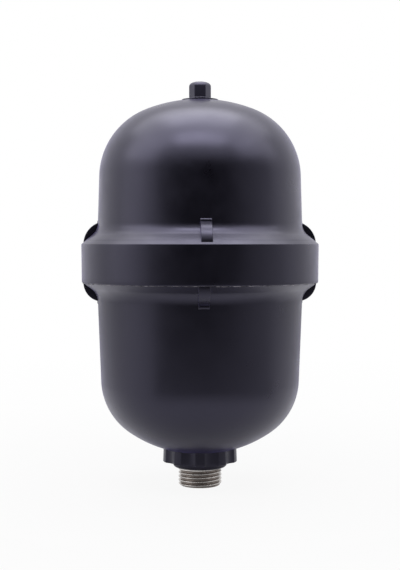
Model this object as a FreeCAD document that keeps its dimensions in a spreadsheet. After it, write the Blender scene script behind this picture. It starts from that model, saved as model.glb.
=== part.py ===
import FreeCAD, Part
import math
import os
import Sketcher

# Small expansion tank for a water system: two moulded plastic halves welded at a waist band, a rubber
# diaphragm clamped between them, an air valve under a hexagonal cap on top and a metal screw port below.
# Millimetres, +Z up. The origin is on the tank's axis at the shoulder where the port thread begins.

doc = FreeCAD.newDocument("expansion_tank")
sheet = doc.addObject("Spreadsheet::Sheet", "Sizes")
derived = doc.addObject("App::VarSet", "Derived")

SIZES = {
    # Waist band: the upper half's skirt, welded down on the lower half's flange
    "band_radius": 57.8,
    "band_draft": 0.25,
    "band_height": 18.6,
    "band_foot_round": 0.5,
    "skirt_wall": 4.2,
    "wall": 3.2,
    # Upper half
    "upper_waist": 8.65,
    "upper_wall_height": 33.4,
    "upper_draft": 0.027,
    "upper_knuckle_ring": 13.65,
    "upper_crown_extra": 22.85,
    "upper_flare_slope": 0.81,
    "upper_flare_round": 7.3,
    "upper_lug_turn": 3.2,
    "inner_flare_rise": 3.4,
    "shoulder_inset": 3.4,
    # Valve boss on the upper dome, outwards from the valve's shank
    "ring_wall": 1.02,
    "ring_height": 0.9,
    "boss_wall": 3.65,
    "boss_depth": 15.1,
    "pad_margin": 0.75,
    "pad_rise": 0.1,
    # Lower half
    "lower_waist": 9.62,
    "lower_wall_height": 48.05,
    "lower_draft": 0.041,
    "lower_knuckle_ring": 17.18,
    "lower_crown_extra": 12.82,
    "lower_flare_slope": 0.754,
    "lower_flare_round": 8,
    "lower_lug_turn": 2.1,
    "flange_inset": 0.8,
    "weld_clearance": 0.2,
    "tongue_wall": 3.2,
    "tongue_height": 6,
    "tongue_root_drop": 1.5,
    "inner_cone_drop": 6,
    "port_drop": 6.8,
    # Drive lugs round both halves
    "lug_count": 4,
    "upper_lug_radius": 11.2,
    "upper_lug_height": 12.2,
    "lower_lug_radius": 9.3,
    "lower_lug_height": 11.1,
    "lug_width": 5.3,
    "lug_inset": 1.05,
    "lug_tongue": 0.3,
    "lug_end_round": 1.1,
    "lug_root": 1.5,
    # Diaphragm and the ring that clamps its bead
    "rubber": 1.8,
    "rubber_clearance": 0.35,
    "seat_gap": 0.1,
    "seal_clearance": 0.02,
    "bead_width": 2.3,
    "bead_rise": 1.6,
    "ring_lip": 1.8,
    "clamp_height": 4.9,
    # Screw port: half-inch pipe thread, shown at its crest
    "thread_radius": 10.4775,
    "thread_length": 8.9,
    "thread_chamfer": 0.9,
    "thread_end_drop": 1.18,
    "port_wall": 2.9775,
    "shank_step": 0.25,
    "shank_clearance": 0.08,
    # Port seat in the lower dome
    "groove_wall": 0.65,
    "port_groove_width": 2.3,
    "port_groove_depth": 1.7,
    "seat_margin": 1.75,
    "seat_rise": 1.4,
    "head_inset": 0.7,
    "head_thickness": 2.3,
    "head_chamfer": 0.5,
    "grid_thickness": 1.8,
    "grid_web": 1.7,
    "grid_margin": 1,
    "grid_count": 6,
    # Grip collar
    "drum_wall": 1.8,
    "drum_height": 3,
    "drum_round": 1,
    "flute_depth": 1.2,
    "flute_radius": 7.2,
    "flute_margin": 4.15,
    "flute_edge_round": 0.5,
    "lobe_draft": 0.2,
    "lobe_count": 10,
    "collar_turn": 18,
    "collar_weld_gap": 0.05,
    # Valve body
    "valve_shank": 4.5,
    "valve_shank_clearance": 0.05,
    "valve_flange_reach": 2.1,
    "valve_flange_thickness": 1.4,
    "valve_seal_drop": 8,
    "valve_groove_depth": 0.9,
    "valve_groove_width": 1.4,
    "valve_thread_drop": 0.65,
    "valve_thread_length": 5.7,
    "valve_chamfer": 0.4,
    "core_thread_radius": 2.6,
    "core_thread_depth": 4.65,
    "taper_length": 2.2,
    "taper_drop": 0.55,
    # Valve core
    "plug_clearance": 0.08,
    "plug_sink": 0.65,
    "plug_length": 3.9,
    "plug_bore": 0.95,
    "slot_width": 1.1,
    "slot_depth": 1.3,
    "barrel_gap": 0.1,
    "barrel_length": 8.7,
    "valve_bore_clearance": 0.1,
    "barrel_head_step": 0.4,
    "barrel_head_height": 0.9,
    "barrel_wall": 0.4,
    "barrel_floor": 1.5,
    "pin_radius": 0.6,
    "pin_sink": 0.5,
    "pin_clearance": 0.15,
    "pin_collar_reach": 0.4,
    "pin_collar_gap": 0.05,
    "pin_collar_height": 0.4,
    "pin_tail": 0.5,
    "spring_wire": 0.13,
    "spring_reach": 0.3,
    "spring_length": 5.3,
    "spring_pitch": 0.88,
    "barrel_seal_height": 1.15,
    "barrel_seal_clearance": 0.05,
    "cup_clearance": 0.55,
    "cup_height": 1.6,
    "cup_wall": 0.08,
    "cup_seal_height": 1.02,
    "cup_seal_proud": 0.42,
    "cup_gap": 0.08,
    # Cap
    "cap_flats": 9.4,
    "cap_height": 7.6,
    "cap_round": 2.3,
    "cap_corner_margin": 0.01,
    "cap_top": 1,
    "cap_clearance": 0.08,
    "cap_seal_thickness": 0.9,
    "cap_seal_clearance": 0.15,
    "cap_roof_gap": 0.05,
}


class Size:
    """A dimension: its number now, and the expression that binds it to the sheet."""

    def __init__(self, value, text):
        self.value = value
        self.text = text

    def __add__(self, other):
        return joined(self, "+", other)

    def __radd__(self, other):
        return joined(other, "+", self)

    def __sub__(self, other):
        return joined(self, "-", other)

    def __rsub__(self, other):
        return joined(other, "-", self)

    def __mul__(self, other):
        return joined(self, "*", other)

    def __rmul__(self, other):
        return joined(other, "*", self)

    def __truediv__(self, other):
        return joined(self, "/", other)

    def __rtruediv__(self, other):
        return joined(other, "/", self)


WORKED = {
    "+": lambda a, b: a + b,
    "-": lambda a, b: a - b,
    "*": lambda a, b: a * b,
    "/": lambda a, b: a / b,
}


def as_size(value):
    return value if isinstance(value, Size) else Size(float(value), repr(float(value)))


def joined(left, sign, right):
    a, b = as_size(left), as_size(right)
    return Size(WORKED[sign](a.value, b.value), f"({a.text} {sign} {b.text})")


def root(size):
    return Size(math.sqrt(size.value), f"sqrt({size.text})")


def half(size):
    return size / 2


def fill_sheet():
    for row, (alias, value) in enumerate(SIZES.items(), start=1):
        sheet.set(f"A{row}", alias.replace("_", " "))
        sheet.set(f"B{row}", str(value))
        sheet.setAlias(f"B{row}", alias)
    doc.recompute()


def size(alias):
    return Size(float(sheet.get(alias)), f"Sizes.{alias}")


def derive(name, formula):
    """Keeps a worked-out length in the document, bound to its formula, and returns it by name."""
    derived.addProperty("App::PropertyFloat", name, "Derived")
    setattr(derived, name, formula.value)
    derived.setExpression(name, formula.text)
    return Size(formula.value, f"Derived.{name}")


def new_body(label, turn=None):
    body = doc.addObject("PartDesign::Body", label)
    body.Label = label
    if turn is not None:
        up = FreeCAD.Vector(0, 0, 1)
        body.Placement = FreeCAD.Placement(FreeCAD.Vector(), FreeCAD.Rotation(up, turn.value))
        body.setExpression(".Placement.Rotation.Angle", f"{turn.text} * 1 deg")
    return body


def origin_feature(body, role):
    return next(f for f in body.Origin.OriginFeatures if f.Role == role)


def new_sketch(body, name, role="XZ_Plane", level=None):
    sketch = body.newObject("Sketcher::SketchObject", name)
    sketch.AttachmentSupport = [(origin_feature(body, role), "")]
    sketch.MapMode = "FlatFace"
    if level is not None:
        sketch.AttachmentOffset = FreeCAD.Placement(FreeCAD.Vector(0, 0, level.value), FreeCAD.Rotation())
        sketch.setExpression(".AttachmentOffset.Base.z", level.text)
    return sketch


def bind(sketch, constraint, length):
    sketch.setExpression(f"Constraints[{sketch.addConstraint(constraint)}]", length.text)


def fix_point(sketch, shape, end, x, y):
    """Ties one point of a sketch to its own two lengths from the origin, or to an axis where one is zero."""
    for length, kind, axis in ((x, "DistanceX", -2), (y, "DistanceY", -1)):
        if isinstance(length, Size):
            bind(sketch, Sketcher.Constraint(kind, -1, 1, shape, end, length.value), length)
        else:
            sketch.addConstraint(Sketcher.Constraint("PointOnObject", shape, end, axis))


def value_of(length):
    return length.value if isinstance(length, Size) else float(length)


def arc_between(start, end, radius, left):
    """The smaller arc from start to end, turning left or right."""
    chord = end - start
    side = FreeCAD.Vector(-chord.y, chord.x, 0).normalize()
    rise = math.sqrt(max(radius**2 - chord.Length**2 / 4, 0))
    centre = (start + end) / 2 + side * (rise if left else -rise)
    first, last = (start, end) if left else (end, start)
    angles = [math.atan2(p.y - centre.y, p.x - centre.x) for p in (first, last)]
    circle = Part.Circle(centre, FreeCAD.Vector(0, 0, 1), radius)
    return Part.ArcOfCircle(circle, angles[0], angles[1])


def outline(sketch, *steps):
    """A closed outline of steps, (x, y) for a straight run or (x, y, radius, side) for an arc."""
    points = [FreeCAD.Vector(value_of(s[0]), value_of(s[1]), 0) for s in steps]
    ends = []
    for i, step in enumerate(steps):
        start, end = points[i - 1], points[i]
        if len(step) == 2:
            ends.append((sketch.addGeometry(Part.LineSegment(start, end)), 1, 2))
        else:
            left = step[3] == "left"
            shape = sketch.addGeometry(arc_between(start, end, step[2].value, left))
            ends.append((shape, 1, 2) if left else (shape, 2, 1))
    for i, (shape, first, last) in enumerate(ends):
        following = ends[(i + 1) % len(ends)]
        sketch.addConstraint(Sketcher.Constraint("Coincident", shape, last, following[0], following[1]))
        fix_point(sketch, shape, last, steps[i][0], steps[i][1])
        if len(steps[i]) == 4:
            bind(sketch, Sketcher.Constraint("Radius", shape, steps[i][2].value), steps[i][2])
    return sketch


def circle_at(sketch, x, y, radius):
    centre = FreeCAD.Vector(value_of(x), value_of(y), 0)
    shape = sketch.addGeometry(Part.Circle(centre, FreeCAD.Vector(0, 0, 1), radius.value))
    fix_point(sketch, shape, 3, x, y)
    bind(sketch, Sketcher.Constraint("Radius", shape, radius.value), radius)


def revolve(body, name, *steps):
    profile = outline(new_sketch(body, f"{name}_outline"), *steps)
    turned = body.newObject("PartDesign::Revolution", name)
    turned.Profile = profile
    turned.ReferenceAxis = (profile, ["V_Axis"])
    turned.Angle = 360
    body.Tip = turned
    doc.recompute()
    return turned


def groove(body, name, *steps):
    before = body.Shape.Volume
    profile = outline(new_sketch(body, f"{name}_outline"), *steps)
    cut = body.newObject("PartDesign::Groove", name)
    cut.Profile = profile
    cut.ReferenceAxis = (profile, ["V_Axis"])
    cut.Angle = 360
    body.Tip = cut
    doc.recompute()
    require_cut(body, name, before)
    return cut


def pad(body, name, profile, length, middle=False):
    added = body.newObject("PartDesign::Pad", name)
    added.Profile = profile
    added.Length = length.value
    added.setExpression("Length", length.text)
    if middle:
        added.SideType = "Symmetric"
    body.Tip = added
    doc.recompute()
    return added


def pocket(body, name, profile, length, upwards=True):
    before = body.Shape.Volume
    cut = body.newObject("PartDesign::Pocket", name)
    cut.Profile = profile
    cut.Length = length.value
    cut.setExpression("Length", length.text)
    cut.Reversed = upwards
    body.Tip = cut
    doc.recompute()
    require_cut(body, name, before)
    return cut


def require_cut(body, name, before):
    if not body.Shape.Volume < before:
        raise RuntimeError(f"{name} cuts nothing from {body.Label}")


def repeat(body, name, feature, count):
    ring = body.newObject("PartDesign::PolarPattern", name)
    ring.Originals = [feature]
    ring.Axis = (origin_feature(body, "Z_Axis"), [""])
    ring.Angle = 360
    ring.Occurrences = int(round(count.value))
    ring.setExpression("Occurrences", count.text)
    body.Tip = ring
    doc.recompute()
    return ring


def round_edges(body, name, radius, chosen):
    """Fillets the edges of the body's newest feature that the given test picks."""
    base = body.Tip
    names = [f"Edge{i}" for i, edge in enumerate(base.Shape.Edges, start=1) if chosen(edge)]
    fillet = body.newObject("PartDesign::Fillet", name)
    fillet.Base = (base, names)
    fillet.Radius = radius.value
    fillet.setExpression("Radius", radius.text)
    body.Tip = fillet
    doc.recompute()
    return fillet


def along_normal(centre, radius, normal):
    return centre[0] + radius * normal[0], centre[1] + radius * normal[1]


class Half:
    """One domed half: a drafted wall, a knuckle and a crown, tangent to each other. Up is 1 or -1."""

    def __init__(self, name, up):
        wall_radius = derive(f"{name}_wall_radius", s["band_radius"] - s[f"{name}_waist"])
        knuckle = derive(f"{name}_knuckle", wall_radius - s[f"{name}_knuckle_ring"])
        crown = derive(f"{name}_crown", wall_radius + s[f"{name}_crown_extra"])
        draft = s[f"{name}_draft"]
        self.name = name
        self.up = up
        self.knuckle = knuckle
        self.crown = crown
        self.draft = draft
        slant = derive(f"{name}_slant", root(1 + draft * draft))
        self.normal = (1 / slant, up * draft / slant)
        self.knuckle_x = derive(f"{name}_knuckle_x", wall_radius - knuckle / slant)
        reach = crown - knuckle
        self.pole_to_knuckle = derive(
            f"{name}_pole_to_knuckle", crown - root(reach * reach - self.knuckle_x * self.knuckle_x)
        )

    def place_by_pole(self, pole):
        self.knuckle_z = derive(f"{self.name}_knuckle_z", pole - self.up * self.pole_to_knuckle)
        self.finish()

    def place_by_wall(self, level):
        self.knuckle_z = derive(f"{self.name}_knuckle_z", level - self.knuckle * self.normal[1])
        self.finish()

    def finish(self):
        self.pole = derive(f"{self.name}_pole", self.knuckle_z + self.up * self.pole_to_knuckle)
        self.crown_z = derive(f"{self.name}_crown_z", self.pole - self.up * self.crown)
        reach = self.crown - self.knuckle
        joint_x = derive(f"{self.name}_joint_x", self.knuckle_x / reach)
        joint_z = derive(f"{self.name}_joint_z", (self.knuckle_z - self.crown_z) / reach)
        self.joint_normal = (joint_x, joint_z)
        self.wall_z = derive(f"{self.name}_wall_z", self.knuckle_z + self.knuckle * self.normal[1])

    def wall_start(self, inset=0):
        """Where the wall meets the knuckle, on the outside or at an inset from it."""
        return along_normal((self.knuckle_x, self.knuckle_z), self.knuckle - inset, self.normal)

    def crown_start(self, inset=0):
        """Where the knuckle meets the crown."""
        return along_normal((self.knuckle_x, self.knuckle_z), self.knuckle - inset, self.joint_normal)

    def crown_height(self, radius, inset=0):
        """The crown's level at a distance from the axis."""
        crown = self.crown - inset
        return self.crown_z + self.up * root(crown * crown - radius * radius)

    def crown_reach(self, level, inset=0):
        """How far from the axis the crown is at a level."""
        crown = self.crown - inset
        drop = self.crown_z - level
        return root(crown * crown - drop * drop)

    def wall_at(self, level, inset=0):
        """The wall's distance from the axis at a level."""
        start = self.wall_start(inset)
        return start[0] + self.up * self.draft * (start[1] - level)

    def flare(self, corner, slope, radius):
        """Wall end, cone end of the hollow round between the wall and a cone that runs to the corner."""
        start = self.wall_start()
        steep = 1 / slope
        cone_slant = root(1 + steep * steep)
        wall_slant = root(1 + self.draft * self.draft)
        a = start[0] + self.draft * self.up * start[1] + radius * wall_slant
        b = corner[0] + steep * self.up * corner[1] + radius * cone_slant
        rise = derive(f"{self.name}_flare_rise", (b - a) / (steep - self.draft))
        x = derive(f"{self.name}_flare_x", a - self.draft * rise)
        z = derive(f"{self.name}_flare_z", self.up * rise)
        wall_end = (x - radius / wall_slant, z - self.up * radius * self.draft / wall_slant)
        cone_end = (x - radius / cone_slant, z - self.up * radius * steep / cone_slant)
        return wall_end, cone_end


fill_sheet()
s = {alias: size(alias) for alias in SIZES}

lower = Half("lower", -1)
lower.place_by_pole(s["port_drop"])
weld_level = derive("weld_level", lower.wall_z + s["lower_wall_height"])
band_top = derive("band_top", weld_level + s["band_height"])
upper = Half("upper", 1)
upper.place_by_wall(band_top + s["upper_wall_height"])

band_foot = derive("band_foot", s["band_radius"] - s["band_draft"])
skirt_bore = derive("skirt_bore", s["band_radius"] - s["skirt_wall"])
tongue_radius = derive("tongue_radius", skirt_bore - s["weld_clearance"])
tongue_inside = derive("tongue_inside", tongue_radius - s["tongue_wall"])
tongue_top = derive("tongue_top", weld_level + s["tongue_height"])
foot_bottom = derive("foot_bottom", tongue_top + s["seat_gap"])
foot_top = derive("foot_top", foot_bottom + s["rubber"])
bead_top = derive("bead_top", foot_top + s["bead_rise"])
clamp_step = derive("clamp_step", bead_top + s["seat_gap"])
clamp_top = derive("clamp_top", clamp_step + s["clamp_height"])
shoulder = derive("shoulder", clamp_top + s["seat_gap"])
lower_inner_end = derive("lower_inner_end", weld_level - s["inner_cone_drop"])
tongue_root = derive("tongue_root", weld_level - s["tongue_root_drop"])

pad_top = derive("pad_top", upper.pole + s["pad_rise"])
ring_top = derive("ring_top", pad_top + s["ring_height"])
boss_bottom = derive("boss_bottom", pad_top - s["boss_depth"])
valve_hole = derive("valve_hole", s["valve_shank"] + s["valve_shank_clearance"])
ring_radius = derive("ring_radius", valve_hole + s["ring_wall"])
boss_radius = derive("boss_radius", valve_hole + s["boss_wall"])
pad_radius = derive("pad_radius", boss_radius + s["pad_margin"])

shank_radius = derive("shank_radius", s["thread_radius"] + s["shank_step"])
port_hole = derive("port_hole", shank_radius + s["shank_clearance"])
port_bore = derive("port_bore", s["thread_radius"] - s["port_wall"])
port_seal_radius = derive("port_seal_radius", port_hole + s["groove_wall"] + half(s["port_groove_width"]))
seat_radius = derive("seat_radius", port_seal_radius + half(s["port_groove_width"]) + s["seat_margin"])
seat_level = derive("seat_level", s["port_drop"] + s["wall"] + s["seat_rise"])
head_bottom = derive("head_bottom", seat_level + s["seat_gap"])
head_top = derive("head_top", head_bottom + s["head_thickness"])
drum_radius = derive("drum_radius", port_hole + s["drum_wall"])
flute_floor = derive("flute_floor", drum_radius + s["flute_margin"])
lobe_radius = derive("lobe_radius", flute_floor + s["flute_depth"])
lobe_top_radius = derive("lobe_top_radius", lobe_radius - s["lobe_draft"])

stem_top = derive("stem_top", ring_top + s["valve_thread_length"])
stem_thread_end = derive("stem_thread_end", stem_top - s["core_thread_depth"])
taper_end = derive("taper_end", stem_thread_end - s["taper_length"])
valve_thread = derive("valve_thread", s["valve_shank"] - s["valve_thread_drop"])
valve_bore = derive("valve_bore", s["core_thread_radius"] - s["taper_drop"])


def add_lugs(body, half, level, inner_radius):
    """Quarter-disc lugs beside the band, each running out in a thin round-ended tongue up the wall."""
    lug = s[f"{half.name}_lug_radius"]
    height = s[f"{half.name}_lug_height"]
    end_round = s["lug_end_round"]
    centre_x = derive(f"{half.name}_lug_x", s["band_radius"] - s["lug_inset"] - lug)
    end = level + half.up * height
    tongue = derive(f"{half.name}_lug_tongue", half.wall_at(end) + s["lug_tongue"])
    run = tongue - centre_x
    join = derive(f"{half.name}_lug_join", level + half.up * root(lug * lug - run * run))
    half_of_lug = lug / 2
    sense = "left" if half.up > 0 else "right"
    profile = outline(
        new_sketch(body, f"{body.Label}_lug_outline"),
        (inner_radius + s["lug_root"], level),
        (centre_x + lug, level),
        (tongue, join, lug, sense),
        (tongue, end - half.up * end_round),
        (tongue - end_round, end, end_round, sense),
        (tongue - end_round, level + half.up * half_of_lug),
    )
    lug_pad = pad(body, f"{body.Label}_lug", profile, s["lug_width"], middle=True)
    repeat(body, f"{body.Label}_lugs", lug_pad, s["lug_count"])


def upper_shell():
    """Domed upper half with its waist skirt, the boss for the air valve and the drive lugs."""
    body = new_body("upper_shell", s["upper_lug_turn"])
    wall = s["wall"]
    rim = (s["band_radius"], band_top)
    wall_end, cone_end = upper.flare(rim, s["upper_flare_slope"], s["upper_flare_round"])
    inner_end = band_top + s["inner_flare_rise"]
    inner_radius = upper.wall_at(inner_end, wall)
    shoulder_radius = skirt_bore - s["shoulder_inset"]
    edge = s["band_foot_round"]
    revolve(
        body,
        "upper_form",
        (valve_hole, boss_bottom),
        (boss_radius, boss_bottom),
        (boss_radius, upper.crown_height(boss_radius, wall)),
        (*upper.crown_start(wall), upper.crown - wall, "right"),
        (*upper.wall_start(wall), upper.knuckle - wall, "right"),
        (inner_radius, inner_end),
        (shoulder_radius, inner_end - (shoulder_radius - inner_radius) * s["upper_flare_slope"]),
        (shoulder_radius, shoulder),
        (skirt_bore, shoulder),
        (skirt_bore, weld_level),
        (band_foot - edge, weld_level),
        (band_foot, weld_level + edge, edge, "left"),
        (s["band_radius"], band_top),
        cone_end,
        (*wall_end, s["upper_flare_round"], "right"),
        upper.wall_start(),
        (*upper.crown_start(), upper.knuckle, "left"),
        (pad_radius, upper.crown_height(pad_radius), upper.crown, "left"),
        (pad_radius, pad_top),
        (ring_radius, pad_top),
        (ring_radius, ring_top),
        (valve_hole, ring_top),
    )
    add_lugs(body, upper, band_top, shoulder_radius)
    return body


def lower_shell():
    """Domed lower half with its weld flange, the tongue that carries the diaphragm and the port seat."""
    body = new_body("lower_shell", s["lower_lug_turn"])
    wall = s["wall"]
    flange = s["band_radius"] - s["flange_inset"]
    wall_end, cone_end = lower.flare((flange, weld_level), s["lower_flare_slope"], s["lower_flare_round"])
    groove_in = port_seal_radius - half(s["port_groove_width"])
    groove_out = port_seal_radius + half(s["port_groove_width"])
    groove_floor = seat_level - s["port_groove_depth"]
    revolve(
        body,
        "lower_form",
        (port_hole, lower.crown_height(port_hole)),
        (*lower.crown_start(), lower.crown, "left"),
        (*lower.wall_start(), lower.knuckle, "left"),
        wall_end,
        (*cone_end, s["lower_flare_round"], "right"),
        (flange, weld_level),
        (tongue_radius, weld_level),
        (tongue_radius, tongue_top),
        (tongue_inside, tongue_top),
        (tongue_inside, tongue_root),
        (lower.wall_at(lower_inner_end, wall), lower_inner_end),
        lower.wall_start(wall),
        (*lower.crown_start(wall), lower.knuckle - wall, "right"),
        (seat_radius, lower.crown_height(seat_radius, wall), lower.crown - wall, "right"),
        (seat_radius, seat_level),
        (groove_out, seat_level),
        (groove_out, groove_floor),
        (groove_in, groove_floor),
        (groove_in, seat_level),
        (port_hole, seat_level),
    )
    add_lugs(body, lower, weld_level, tongue_inside)
    return body


def diaphragm():
    """Rubber diaphragm as the air charge holds it, on the lower half, with a clamped bead at its rim."""
    body = new_body("diaphragm")
    back = s["wall"] + s["rubber_clearance"]
    front = back + s["rubber"]
    rubber = s["rubber"]
    leg = tongue_inside - s["rubber_clearance"]
    cover = derive("cover", head_top + s["rubber_clearance"])
    roof = cover + rubber
    bead_out = tongue_radius - s["seat_gap"]
    revolve(
        body,
        "rubber_form",
        (0, cover),
        (lower.crown_reach(cover, back), cover),
        (*lower.crown_start(back), lower.crown - back, "left"),
        (*lower.wall_start(back), lower.knuckle - back, "left"),
        (lower.wall_at(lower_inner_end, back), lower_inner_end),
        (leg, tongue_root),
        (leg, foot_bottom),
        (bead_out, foot_bottom),
        (bead_out, bead_top),
        (bead_out - s["bead_width"], bead_top),
        (bead_out - s["bead_width"], foot_top),
        (leg - rubber, foot_top),
        (leg - rubber, tongue_root),
        (lower.wall_at(lower_inner_end, front), lower_inner_end),
        lower.wall_start(front),
        (*lower.crown_start(front), lower.knuckle - front, "right"),
        (lower.crown_reach(roof, front), roof, lower.crown - front, "right"),
        (0, roof),
    )
    return body


def clamp_ring():
    """Ring that holds the diaphragm's bead down while the halves are spun together."""
    body = new_body("clamp_ring")
    outside = tongue_radius
    step = tongue_radius - s["seat_gap"] - s["bead_width"] - s["seat_gap"]
    inside = step - s["ring_lip"]
    lip = foot_top + s["seat_gap"]
    revolve(
        body,
        "clamp_form",
        (inside, lip),
        (step, lip),
        (step, clamp_step),
        (outside, clamp_step),
        (outside, clamp_top),
        (inside, clamp_top),
    )
    return body


def connector():
    """Metal screw port with a head inside the shell and a grid that keeps the diaphragm out."""
    body = new_body("connector")
    head = seat_radius - s["head_inset"]
    thread_end = 0 - s["thread_length"]
    grid_bottom = head_top - s["grid_thickness"]
    holes_across = 3
    hole_radius = derive("hole_radius", (port_bore - s["grid_margin"] - s["grid_web"]) / holes_across)
    revolve(
        body,
        "connector_form",
        (port_bore, thread_end),
        (s["thread_radius"] - s["thread_end_drop"], thread_end),
        (s["thread_radius"], thread_end + s["thread_chamfer"]),
        (s["thread_radius"], 0),
        (shank_radius, 0),
        (shank_radius, head_bottom),
        (head, head_bottom),
        (head, head_top - s["head_chamfer"]),
        (head - s["head_chamfer"], head_top),
        (0, head_top),
        (0, grid_bottom),
        (port_bore, grid_bottom),
    )
    middle = new_sketch(body, "middle_hole_outline", "XY_Plane", grid_bottom)
    circle_at(middle, 0, 0, hole_radius)
    pocket(body, "middle_hole", middle, s["grid_thickness"])
    outer = new_sketch(body, "outer_hole_outline", "XY_Plane", grid_bottom)
    circle_at(outer, port_bore - s["grid_margin"] - hole_radius, 0, hole_radius)
    hole = pocket(body, "outer_hole", outer, s["grid_thickness"])
    repeat(body, "outer_holes", hole, s["grid_count"])
    return body


def port_collar():
    """Grip collar welded under the lower dome, with lobes to turn the tank by and a plain drum below."""
    body = new_body("port_collar", s["collar_turn"])
    gap = s["collar_weld_gap"]
    revolve(
        body,
        "collar_form",
        (port_hole, 0),
        (drum_radius - s["drum_round"], 0),
        (drum_radius, s["drum_round"], s["drum_round"], "left"),
        (drum_radius, s["drum_height"]),
        (lobe_radius, s["drum_height"]),
        (lobe_top_radius, lower.crown_height(lobe_top_radius, 0 - gap)),
        (port_hole, lower.crown_height(port_hole, 0 - gap), lower.crown + gap, "right"),
    )
    flute_profile = new_sketch(body, "flute_outline", "XY_Plane")
    half_step = math.pi / s["lobe_count"].value
    centre = flute_floor + s["flute_radius"]
    circle_at(flute_profile, centre * math.cos(half_step), centre * math.sin(half_step), s["flute_radius"])
    flute = pocket(body, "flute", flute_profile, lower.crown_height(centre))
    repeat(body, "flutes", flute, s["lobe_count"])
    round_edges(body, "flute_edges", s["flute_edge_round"], is_flute_edge)
    return body


def is_flute_edge(edge):
    """Edges that run up the collar where a lobe's face meets a flute."""
    ends = [v.Point for v in edge.Vertexes]
    if len(ends) < 2:
        return False
    radii = [math.hypot(p.x, p.y) for p in ends]
    rise = abs(ends[0].z - ends[1].z)
    return rise > s["drum_round"].value and min(radii) > flute_floor.value


def valve_body():
    """Turned air valve body, held from inside the shell by its flange, with a thread for the cap outside."""
    body = new_body("valve_body")
    shank = s["valve_shank"]
    flange = shank + s["valve_flange_reach"]
    flange_top = boss_bottom - s["seat_gap"]
    groove_floor = shank - s["valve_groove_depth"]
    seal_level = pad_top - s["valve_seal_drop"]
    groove_low = seal_level - half(s["valve_groove_width"])
    groove_high = seal_level + half(s["valve_groove_width"])
    revolve(
        body,
        "valve_form",
        (valve_bore, flange_top - s["valve_flange_thickness"]),
        (flange, flange_top - s["valve_flange_thickness"]),
        (flange, flange_top),
        (shank, flange_top),
        (shank, groove_low),
        (groove_floor, groove_low),
        (groove_floor, groove_high),
        (shank, groove_high),
        (shank, ring_top),
        (valve_thread, ring_top),
        (valve_thread, stem_top - s["valve_chamfer"]),
        (valve_thread - s["valve_chamfer"], stem_top),
        (s["core_thread_radius"], stem_top),
        (s["core_thread_radius"], stem_thread_end),
        (valve_bore, taper_end),
    )
    return body


def seal_ring(label, radius, section, level):
    """A round rubber ring."""
    ring = doc.addObject("Part::Torus", label)
    ring.Label = label
    ring.setExpression("Radius1", radius.text)
    ring.setExpression("Radius2", section.text)
    ring.setExpression(".Placement.Base.z", level.text)
    doc.recompute()
    return ring


def connector_seal():
    depth = s["port_groove_depth"] + s["seat_gap"]
    section = half(depth) - s["seal_clearance"]
    return seal_ring("connector_seal", port_seal_radius, section, head_bottom - half(depth))


def valve_seal():
    depth = s["valve_groove_depth"] + s["valve_shank_clearance"]
    section = half(depth) - s["seal_clearance"]
    return seal_ring("valve_seal", valve_hole - half(depth), section, pad_top - s["valve_seal_drop"])


# Valve core, from the plug at the top to the cup at the tail of the pin
plug_top = derive("plug_top", stem_top - s["plug_sink"])
plug_bottom = derive("plug_bottom", plug_top - s["plug_length"])
barrel_top = derive("barrel_top", plug_bottom - s["barrel_gap"])
barrel_bottom = derive("barrel_bottom", barrel_top - s["barrel_length"])
spring_seat = derive("spring_seat", barrel_bottom + s["barrel_floor"])
barrel_head = derive("barrel_head", valve_bore - s["valve_bore_clearance"])
barrel_radius = derive("barrel_radius", barrel_head - s["barrel_head_step"])
barrel_bore = derive("barrel_bore", barrel_radius - s["barrel_wall"])
cup_radius = derive("cup_radius", valve_bore - s["cup_clearance"])
pin_hole = derive("pin_hole", s["pin_radius"] + s["pin_clearance"])
spring_top = derive("spring_top", spring_seat + s["spring_length"])
cup_seal_top = derive("cup_seal_top", barrel_bottom - s["cup_gap"])
cup_top = derive("cup_top", cup_seal_top - s["cup_seal_proud"])
cup_bottom = derive("cup_bottom", cup_top - s["cup_height"])


def core_plug():
    """Screwed plug that holds the core down, slotted for its key."""
    body = new_body("core_plug")
    radius = s["core_thread_radius"] - s["plug_clearance"]
    revolve(
        body,
        "plug_form",
        (s["plug_bore"], plug_bottom),
        (radius, plug_bottom),
        (radius, plug_top),
        (s["plug_bore"], plug_top),
    )
    side = half(s["slot_width"])
    reach = radius + s["slot_width"]
    slot = outline(
        new_sketch(body, "slot_outline", "XY_Plane", plug_top - s["slot_depth"]),
        (0 - reach, 0 - side),
        (reach, 0 - side),
        (reach, side),
        (0 - reach, side),
    )
    pocket(body, "slot", slot, s["slot_depth"])
    return body


def core_barrel():
    """Barrel that guides the pin and carries the spring on its floor."""
    body = new_body("core_barrel")
    revolve(
        body,
        "barrel_form",
        (pin_hole, barrel_bottom),
        (barrel_radius, barrel_bottom),
        (barrel_radius, barrel_top - s["barrel_head_height"]),
        (barrel_head, barrel_top - s["barrel_head_height"]),
        (barrel_head, barrel_top),
        (barrel_bore, barrel_top),
        (barrel_bore, spring_seat),
        (pin_hole, spring_seat),
    )
    return body


def core_barrel_seal():
    """Tapered ring that seals the barrel on the valve body's cone."""
    body = new_body("core_barrel_seal")
    gap = s["barrel_seal_clearance"]
    top = barrel_top - s["barrel_head_height"] - gap
    bottom = top - s["barrel_seal_height"]
    spread = s["taper_drop"] / s["taper_length"]
    inside = barrel_radius + gap
    revolve(
        body,
        "barrel_seal_form",
        (inside, bottom),
        (valve_bore + (bottom - taper_end) * spread - gap, bottom),
        (valve_bore + (top - taper_end) * spread - gap, top),
        (inside, top),
    )
    return body


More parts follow.
